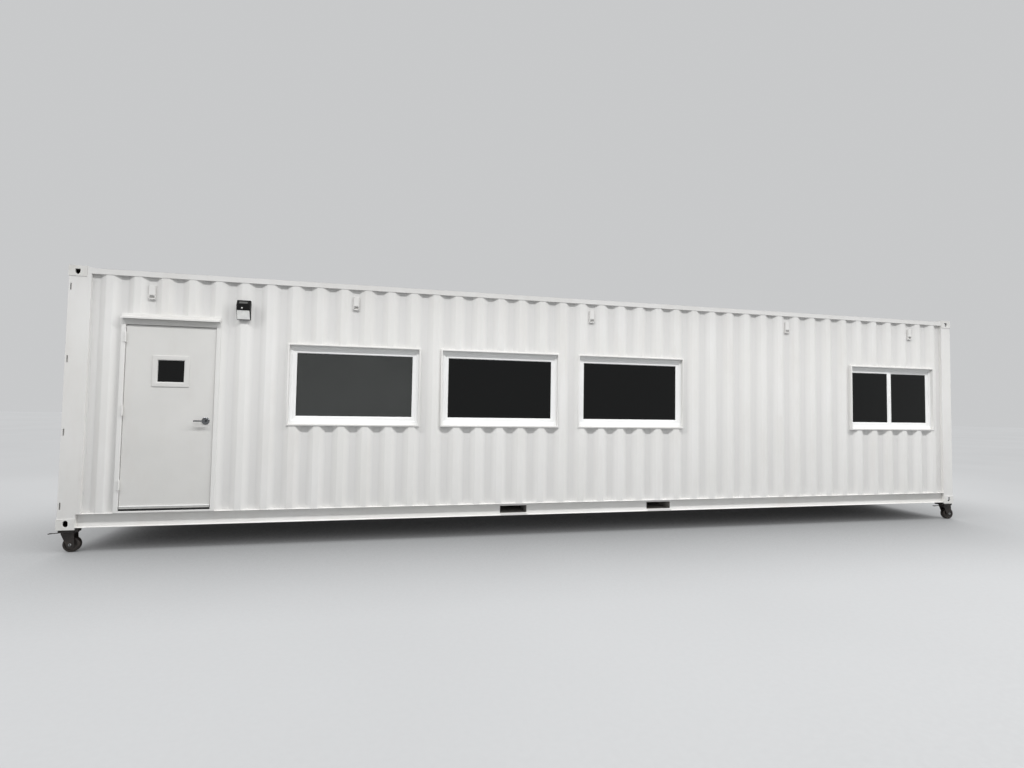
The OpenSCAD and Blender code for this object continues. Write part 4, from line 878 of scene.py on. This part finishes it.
# The keyway, a black box painted as the keyhole's shade, stands a little proud of the cylinder's face
KEYWAY_HALF_W, KEYWAY_HALF_H, KEYWAY_Y = 0.8 * MM, 4 * MM, (-1.5 * MM, -1.0 * MM)
LATCH_PLATE_IN, LATCH_PLATE_T, LATCH_PLATE_HALF_H = 9 * MM, 1 * MM, 28 * MM
lever_at = Vector(joint_at["lever_turn"]["pos_m"])
lever_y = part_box("lever_handle")[0].y
roses, key, keyhole_shade, latch = (bmesh.new() for _ in range(4))
for y, out in ((leaf_low.y, 1), (leaf_high.y, -1)):
    turned(roses, in_metres(ROSE), facing(lever_at.x, y, lever_at.z, out), 64)
turned(key, in_metres(KEY), facing(lever_at.x, lever_y, lever_at.z), 40)
box(keyhole_shade, (lever_at.x - KEYWAY_HALF_W, lever_y + KEYWAY_Y[0], lever_at.z - KEYWAY_HALF_H),
    (lever_at.x + KEYWAY_HALF_W, lever_y + KEYWAY_Y[1], lever_at.z + KEYWAY_HALF_H))
box(latch, (leaf_high.x, leaf_low.y + LATCH_PLATE_IN, lever_at.z - LATCH_PLATE_HALF_H),
    (leaf_high.x + LATCH_PLATE_T, leaf_high.y - LATCH_PLATE_IN, lever_at.z + LATCH_PLATE_HALF_H))
piece("roses", roses, satin_chrome, "door", "satin_chrome", "lever_roses")
dressed("lever", "lever_handle", 4.5, segments=4)
piece("key_cylinder", key, satin_chrome, "lever", "satin_chrome")
# The keyway's black is painted shade of the keyhole
piece("keyhole_shade", keyhole_shade, gasket_rubber, "lever", "black_housing")
piece("latch_plate", latch, mill_aluminium, "door", "galvanised_steel")


# Ventilators

VENT_SLOT, VENT_RIM, VENT_RAISED, SCREEN_T = (12 * MM, 44 * MM), 7 * MM, 2 * MM, 4 * MM
SLAT_PITCH, SLAT_OUT, SLAT_UP, SLAT_TILT = 9 * MM, 13 * MM, 7 * MM, 0.7
SLATS, SLAT_W, SLAT_T = 3, 12 * MM, 1.2 * MM
SCREW_IN, SCREW_UP, SCREW_SUNK = 4 * MM, 6 * MM, 1 * MM
screws = fastener_rule()
slats = slat_rule()
hoods, dark, louvres = (bmesh.new() for _ in range(3))
screw_points = {-1: [], 1: []}
for low, high in islands("ventilators"):
    out = -1 if low.y < 0 else 1
    face, wall = (low.y, high.y) if out < 0 else (high.y, low.y)
    rim_y = face - out * VENT_RAISED
    slot_z = (low.z + VENT_SLOT[0], low.z + VENT_SLOT[1])
    within = (low.x + VENT_RIM, high.x - VENT_RIM)
    # The upper part with its raised field, the two sides, the foot, and a screen in the slot whose grey is painted
    # shade of the opening
    for mesh, (x0, x1), (z0, z1), y0, y1 in (
            (hoods, (low.x, high.x), (slot_z[1], high.z), wall, rim_y),
            (hoods, within, (slot_z[1] + VENT_RIM, high.z - VENT_RIM), rim_y, face),
            (hoods, (low.x, within[0]), (low.z, slot_z[1]), wall, rim_y),
            (hoods, (within[1], high.x), (low.z, slot_z[1]), wall, rim_y),
            (hoods, within, (low.z, slot_z[0]), wall, rim_y),
            (dark, within, slot_z, wall, wall + out * SCREEN_T)):
        box(mesh, (x0, min(y0, y1), z0), (x1, max(y0, y1), z1))
    louvres.from_mesh(ruled("slats", slats, {
        "First": ((low.x + high.x) / 2, wall + out * SLAT_OUT, slot_z[0] + SLAT_UP),
        "Pitch": (0.0, 0.0, SLAT_PITCH), "Count": SLATS,
        "Size": (within[1] - within[0], SLAT_W, SLAT_T), "Tilt": (SLAT_TILT * out, 0.0, 0.0),
        "Finish": white_enamel}))
    screw_points[out] += [(x, face - out * SCREW_SUNK, z)
                          for x in (low.x + SCREW_IN, high.x - SCREW_IN)
                          for z in (low.z + SCREW_UP, high.z - SCREW_UP)]
rounded(piece("vent_hoods", hoods, white_enamel, "cabin", "white_enamel", "ventilators"), 1.5)
# The screens' grey is painted shade inside the slots
piece("vent_slot_shade", dark, underframe_paint, "cabin", "black_housing")
piece("vent_slats", louvres, white_enamel, "cabin", "white_enamel")
for name, out in (("vent_screws_front", -1), ("vent_screws_back", 1)):
    places = bpy.data.meshes.new(name + "_places")
    places.from_pydata(screw_points[out], [], [])
    data = ruled(name, screws, {
        "Turn": (-out * math.pi / 2, 0.0, 0.0), "Radius": 2.6 * MM, "Height": 1.6 * MM,
        "Sides": 6, "Washer": 3.4 * MM, "Finish": zinc_screw}, places)
    fitted(name, data, zinc_screw, "cabin", "galvanised_steel")

# The sweep's bristles, in tufts
TUFT_W, TUFT_D, TUFT_PITCH, TUFT_IN_STRIP = 2.7 * MM, 4 * MM, 3 * MM, 1 * MM
tuft_top = bristles_z + TUFT_IN_STRIP
data = ruled("sweep_bristles", slats, {
    "First": (sweep_low.x + TUFT_PITCH / 2, (sweep_low.y + sweep_high.y) / 2,
              (blade_foot + tuft_top) / 2),
    "Pitch": (TUFT_PITCH, 0.0, 0.0),
    "Count": math.floor((sweep_high.x - sweep_low.x) / TUFT_PITCH),
    "Size": (TUFT_W, TUFT_D, tuft_top - blade_foot), "Tilt": (0.0, 0.0, 0.0),
    "Finish": nylon_bristle})
fitted("sweep_bristles", data, nylon_bristle, "door", "light_grey_seal")


# Wall light: a cast hood over a ribbed lens that leans back, in a thin dark frame

LENS_FOOT_BACK, CHEEK_LAP, FOOT_H, FOOT_PROUD = 2.5 * MM, 1 * MM, 6 * MM, 4 * MM
RIBS, RIB_W, RIB_SHORTER = 15, 2.4 * MM, 8 * MM
PHOTOCELL = [(0, -1), (8, -1), (8, 0.5), (6.5, 2), (3.5, 2.8), (0, 3)]
PHOTOCELL_LEFT, PHOTOCELL_UP = 12 * MM, 26 * MM
# The hood's slope, from its face at one share of the height to its top at one of the depth, and
# the painted highlight's stretch of it
SLOPE_FROM, SLOPE_TO, HIGHLIGHT_FROM, HIGHLIGHT_TO = 0.6, 0.4, 0.12, 0.6
HIGHLIGHT_HALF_W, HIGHLIGHT_HALF_T = 44 * MM, 1.2 * MM

dressed("lamp_hood", "wall_light_body", 5, segments=4)
dressed("lamp_bowl", "wall_light_lens", 3, segments=3)
hood_low, hood_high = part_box("wall_light_body")
lens_low, lens_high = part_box("wall_light_lens")
lens_foot_y = (lens_low.y + lens_high.y) / 2 + LENS_FOOT_BACK
lean = math.atan2(lens_foot_y - lens_low.y, lens_high.z - lens_low.z)
rib_pitch = Vector((0, lens_low.y - lens_foot_y, lens_high.z - lens_low.z)) / (RIBS + 1)
first_rib = Vector(((lens_low.x + lens_high.x) / 2, lens_foot_y, lens_low.z)) + rib_pitch
data = ruled("lamp_ribs", slats, {
    "First": tuple(first_rib), "Pitch": tuple(rib_pitch), "Count": RIBS,
    "Size": (lens_high.x - lens_low.x - RIB_SHORTER, RIB_W, RIB_W),
    "Tilt": (math.pi / 4 + lean, 0.0, 0.0), "Finish": lamp_lens})
fitted("lamp_ribs", data, lamp_lens, "cabin", "clear_lens")
cheeks, lamp_foot, button, window = (bmesh.new() for _ in range(4))
for x0, x1 in ((hood_low.x, lens_low.x + CHEEK_LAP), (lens_high.x - CHEEK_LAP, hood_high.x)):
    extruded(cheeks, [(lens_high.y, lens_low.z), (lens_high.y, lens_high.z),
                      (lens_low.y, lens_high.z), (lens_foot_y, lens_low.z)], across(x0), x1 - x0)
rounded(piece("lamp_cheeks", cheeks, black_powder_coat, "cabin", "black_housing"), 0.8)
box(lamp_foot, (hood_low.x, lens_foot_y - FOOT_PROUD, lens_low.z - CHEEK_LAP),
    (hood_high.x, lens_high.y, lens_low.z + FOOT_H - CHEEK_LAP))
rounded(piece("lamp_foot", lamp_foot, black_powder_coat, "cabin", "black_housing"), 1)
# The light's photocell, and a painted highlight: a glossy mid-grey band where the hood's slope catches light
lamp_centre = (hood_low.x + hood_high.x) / 2
turned(button, in_metres(PHOTOCELL),
       facing(lamp_centre - PHOTOCELL_LEFT, hood_low.y, lens_high.z + PHOTOCELL_UP), 32)
piece("lamp_photocell", button, lamp_lens, "cabin", "clear_lens")
hood_size = hood_high - hood_low
slope_low = Vector((0, hood_low.y, hood_low.z + SLOPE_FROM * hood_size.z))
slope_high = Vector((0, hood_low.y + SLOPE_TO * hood_size.y, hood_high.z))
along = slope_high - slope_low
outward = Vector((0, -along.z, along.y)).normalized() * HIGHLIGHT_HALF_T
highlight_foot, highlight_top = slope_low + along * HIGHLIGHT_FROM, slope_low + along * HIGHLIGHT_TO
# The band is a painted highlight and no part of the light
extruded(window, [(p.y, p.z) for p in (highlight_foot - outward, highlight_foot + outward,
                                       highlight_top + outward, highlight_top - outward)],
         across(lamp_centre - HIGHLIGHT_HALF_W), 2 * HIGHLIGHT_HALF_W)
rounded(piece("lamp_slope_highlight", window, painted_slope_highlight, "cabin", "clear_lens"), 0.5)


# Cargo doors

CARGO_GASKET = [(-7, 12, 0), (1, 10, 0), (1, 30, 0), (-7, 32, 0)]
seals = bmesh.new()
for low, high in islands("cargo_doors"):
    mitred(seals, low.y, high.y, low.z, high.z, CARGO_GASKET)
bmesh.ops.transform(seals, verts=seals.verts, matrix=Matrix.Translation(
    (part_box("cargo_doors")[0].x, 0, 0)) @ Matrix.Rotation(-math.pi / 2, 4, "Z"))
rounded(piece("cargo_gaskets", seals, gasket_rubber, "cabin", "black_housing"), 1)

# Painted lugs of the hinge butts, which show in the slots on the posts' sides
LUG_X, LUG_IN, LUG_T, LUG_HALF_H = (21.5 * MM, 35.5 * MM), 3 * MM, 6 * MM, 37.5 * MM
lugs = bmesh.new()
for low, high in islands("cargo_door_hinges"):
    z = (low.z + high.z) / 2
    for post_low, post_high in post_boxes:
        if post_low.x < 0 and post_low.y * low.y > 0:
            face = max(abs(post_low.y), abs(post_high.y)) - LUG_IN
            ys = sorted(math.copysign(y, low.y) for y in (face, face - LUG_T))
            box(lugs, (post_low.x + LUG_X[0], ys[0], z - LUG_HALF_H),
                (post_low.x + LUG_X[1], ys[1], z + LUG_HALF_H))
rounded(piece("hinge_lugs", lugs, underframe_paint, "cabin", "white_enamel"), 1)


# Casters

# Half profiles of (radius, height), from the bore or the rim's seat out to the tread
TYRE = [(60, 29), (64, 32), (72, 32), (77, 31), (81, 28), (83.3, 23), (84, 17)]
CORE = [(10.05, 36), (22, 36), (25, 32), (28, 18), (46, 18), (56, 20), (60, 28), (60.5, 28)]
NUT_RADIUS, NUT_FROM, NUT_H = 15 * MM, 46 * MM, 8 * MM


def both_halves(profile):
    """The half profile and its mirror image, in metres."""
    return in_metres(profile + [(r, -h) for r, h in profile[::-1]])


def caster(corner):
    """Fork, tread, core and axle nuts of the caster at that corner."""
    roll = joint_at["roll_" + corner]
    fork_body, wheel_body = "fork_" + corner, "wheel_" + corner
    dressed("fork_" + corner, "caster_fork_" + corner, 1.5)
    hub = Matrix.Translation(roll["pos_m"]) @ AXES[2].rotation_difference(
        Vector(roll["axis"])).to_matrix().to_4x4()
    tyre, core, nuts = (bmesh.new() for _ in range(3))
    turned(tyre, both_halves(TYRE), hub, 96)
    turned(core, both_halves(CORE), hub, 72)
    piece("tyre_" + corner, tyre, caster_tread, wheel_body, "caster_tyre",
          "caster_wheel_" + corner)
    piece("core_" + corner, core, cast_core, wheel_body, "black_steel")
    angles = [math.tau * i / 6 for i in range(6)]
    hexagon = [(NUT_RADIUS * math.cos(a), NUT_RADIUS * math.sin(a)) for a in angles]
    for turn in (0, math.pi):
        end = hub @ Matrix.Rotation(turn, 4, "X") @ Matrix.Translation((0, 0, NUT_FROM))
        extruded(nuts, hexagon, end, NUT_H)
    rounded(piece("axle_nuts_" + corner, nuts, zinc_screw, fork_body, "galvanised_steel"), 1.2)


for corner in ("front_left", "front_right", "back_left", "back_right"):
    caster(corner)
dressed("caster_clamps", "caster_plates", 1.5)


# Weld seams

SEAM_STEP, SEAM_OFF, POST_SEAM_OFF = 11 * MM, 1 * MM, 0.5 * MM
beads = bead_rule()


def weld(name, runs, radius, step):
    """A bead along runs of (points, closed), with its radius and step in millimetres."""
    points, edges = [], []
    for run, closed in runs:
        base = len(points)
        points += run
        edges += [(base + i, base + i + 1) for i in range(len(run) - 1)]
        if closed:
            edges.append((base + len(run) - 1, base))
    seam = bpy.data.meshes.new(name + "_seam")
    seam.from_pydata(points, edges, [])
    data = ruled(name, beads, {"Radius": radius * MM, "Step": step * MM,
                               "Finish": weld_enamel}, seam)
    fitted(name, data, weld_enamel, "cabin", "white_enamel")


def wave_run(start, end, z, out):
    """Points along the outer face of a side wall at the height z."""
    points, x = [], start
    while x < end:
        turn = ((x - wave_x0) / SIDE_WAVE["Pitch"]) % 1
        away = abs(turn - 0.5) * SIDE_WAVE["Pitch"]
        rise = (SIDE_WAVE["Crest"] / 2 + SIDE_WAVE["Slope"] - away) / SIDE_WAVE["Slope"]
        y = valley_y - SIDE_WAVE["Depth"] * min(1.0, max(0.0, rise))
        points.append((x, -out * y, z))
        x += SEAM_STEP
    return points, False


foot_z = wall_low.z + SEAM_OFF
weld("wall_foot_weld", [wave_run(wall_low.x, frame_low.x, foot_z, -1),
                        wave_run(frame_high.x, wall_high.x, foot_z, -1),
                        wave_run(wall_low.x, wall_high.x, foot_z, 1)], 2.2, 9)
loops = []
for low, high in post_boxes:
    casting = [b for b in casting_boxes if b[0].x * low.x > 0 and b[0].y * low.y > 0][0]
    x0, x1 = max(low.x, casting[0].x), min(high.x, casting[1].x)
    y0, y1 = max(low.y, casting[0].y), min(high.y, casting[1].y)
    for z in (low.z + POST_SEAM_OFF, min(high.z, casting_foot) - POST_SEAM_OFF):
        loops.append(([(x0, y0, z), (x1, y0, z), (x1, y1, z), (x0, y1, z)], True))
weld("post_welds", loops, 3.2, 5)


# Floor, light and camera

FLOOR_RADIUS, FLOOR_SIDES = 90.0, 96
# The colour that bounced light takes from the floor, the one that lamps light for the eye, and
# how far off a body still darkens the floor's glow with a painted shadow
FLOOR_BOUNCE, FLOOR_DARK, FLOOR_REACH = "#7C7D7E", "#3C3D3E", 2.5
SKY_COLOUR, SKY_SEEN, SKY_LIGHT = "#CDCECF", 0.95, 1.03
# Each row of lamps: its length and width, watts, height, distance from the middle plane, where
# its middle is along the cabin, and its tilt away from the wall in degrees
ROW_L, ROW_W, ROW_POWER, ROW_UP, ROW_OUT, ROW_X, ROW_TILT = 19.0, 0.4, 1215, 5.0, 3.1, 1.5, 35
CAMERA_AT, CAMERA_LENS = (-2.60346716, -7.96504749, 1.66156004), 18.768
CAMERA_PITCH, CAMERA_ROLL, CAMERA_YAW = 0.04270697, -0.01614792, -0.22213258

stage_mesh = bmesh.new()
bmesh.ops.create_circle(stage_mesh, cap_ends=True, segments=FLOOR_SIDES, radius=FLOOR_RADIUS)
stage_data = bpy.data.meshes.new("studio_floor")
stage_mesh.to_mesh(stage_data)
stage_mesh.free()
# Painted studio floor: pale grey and matt where it is seen, and darker as a source of bounced
# light. Where it is seen it glows, and a painted shadow that dims the glow near bodies lays the
# cabin's shadow on it softly, over the lamp-lit one
floor_paint = finish("studio_floor", "#BEBFC0", ("#BABBBC", 4000), 40, (0.7, 0.8))


def seen_directly(tree):
    """1 for rays from the camera, from reflections and through glass, and 0 for bounced light."""
    path = add(tree, "ShaderNodeLightPath").outputs
    seen = add(tree, "ShaderNodeMath", {0: path["Is Camera Ray"], 1: path["Is Glossy Ray"]},
               operation="MAXIMUM")
    return add(tree, "ShaderNodeMath", {0: seen, 1: path["Is Transmission Ray"]},
               operation="MAXIMUM").outputs[0]


floor_tree = floor_paint.node_tree
floor_inputs = floor_tree.nodes["Principled BSDF"].inputs
floor_seen = seen_directly(floor_tree)
floor_tree.links.new(floor_inputs["Base Color"].links[0].from_socket,
                     floor_inputs["Emission Color"])
lit_colour = add(floor_tree, "ShaderNodeMix",
                 {0: floor_seen, 6: linear(FLOOR_BOUNCE), 7: linear(FLOOR_DARK)},
                 data_type="RGBA")
floor_tree.links.new(lit_colour.outputs[2], floor_inputs["Base Color"])
# Painted shadow: ambient occlusion dims the floor's glow under and beside the cabin
painted_floor_shadow = add(floor_tree, "ShaderNodeAmbientOcclusion", {"Distance": FLOOR_REACH}, samples=8)
glow = add(floor_tree, "ShaderNodeMath", {0: floor_seen, 1: painted_floor_shadow.outputs["AO"]},
           operation="MULTIPLY")
floor_tree.links.new(glow.outputs[0], floor_inputs["Emission Strength"])
stage_data.materials.append(floor_paint)
studio_floor = bpy.data.objects.new("studio_floor", stage_data)
bpy.context.scene.collection.objects.link(studio_floor)
studio_floor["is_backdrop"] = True

world = bpy.data.worlds.new("even_sky")
world.use_nodes = True
sky = world.node_tree
background = sky.nodes["Background"].inputs
background["Color"].default_value = linear(SKY_COLOUR)
strength = add(sky, "ShaderNodeMapRange", {0: seen_directly(sky), 3: SKY_LIGHT, 4: SKY_SEEN})
sky.links.new(strength.outputs[0], background["Strength"])
bpy.context.scene.world = world

# A row of ceiling lamps along each long wall, not far in front of it: the shadows are short under
# the roof and long near the floor
for name, side in (("front_row", -1), ("back_row", 1)):
    lamps = bpy.data.lights.new(name, "AREA")
    lamps.energy, lamps.shape = ROW_POWER, "RECTANGLE"
    lamps.size, lamps.size_y = ROW_L, ROW_W
    row = bpy.data.objects.new(name, lamps)
    row.location = (ROW_X, side * ROW_OUT, ROW_UP)
    row.rotation_euler = (side * math.radians(ROW_TILT), 0, 0)
    row.visible_camera = False
    bpy.context.scene.collection.objects.link(row)

camera_data = bpy.data.cameras.new("camera")
camera_data.sensor_width = 36.0
camera_data.lens = CAMERA_LENS
camera = bpy.data.objects.new("camera", camera_data)
camera.matrix_world = Matrix.Translation(CAMERA_AT) @ (
    Matrix.Rotation(CAMERA_YAW, 4, "Z") @ Matrix.Rotation(CAMERA_PITCH, 4, "X")
    @ Matrix.Rotation(CAMERA_ROLL, 4, "Y") @ Matrix.Rotation(math.pi / 2, 4, "X"))
bpy.context.scene.collection.objects.link(camera)
bpy.context.scene.camera = camera
bpy.context.scene.view_settings.view_transform = "Standard"

low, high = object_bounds()
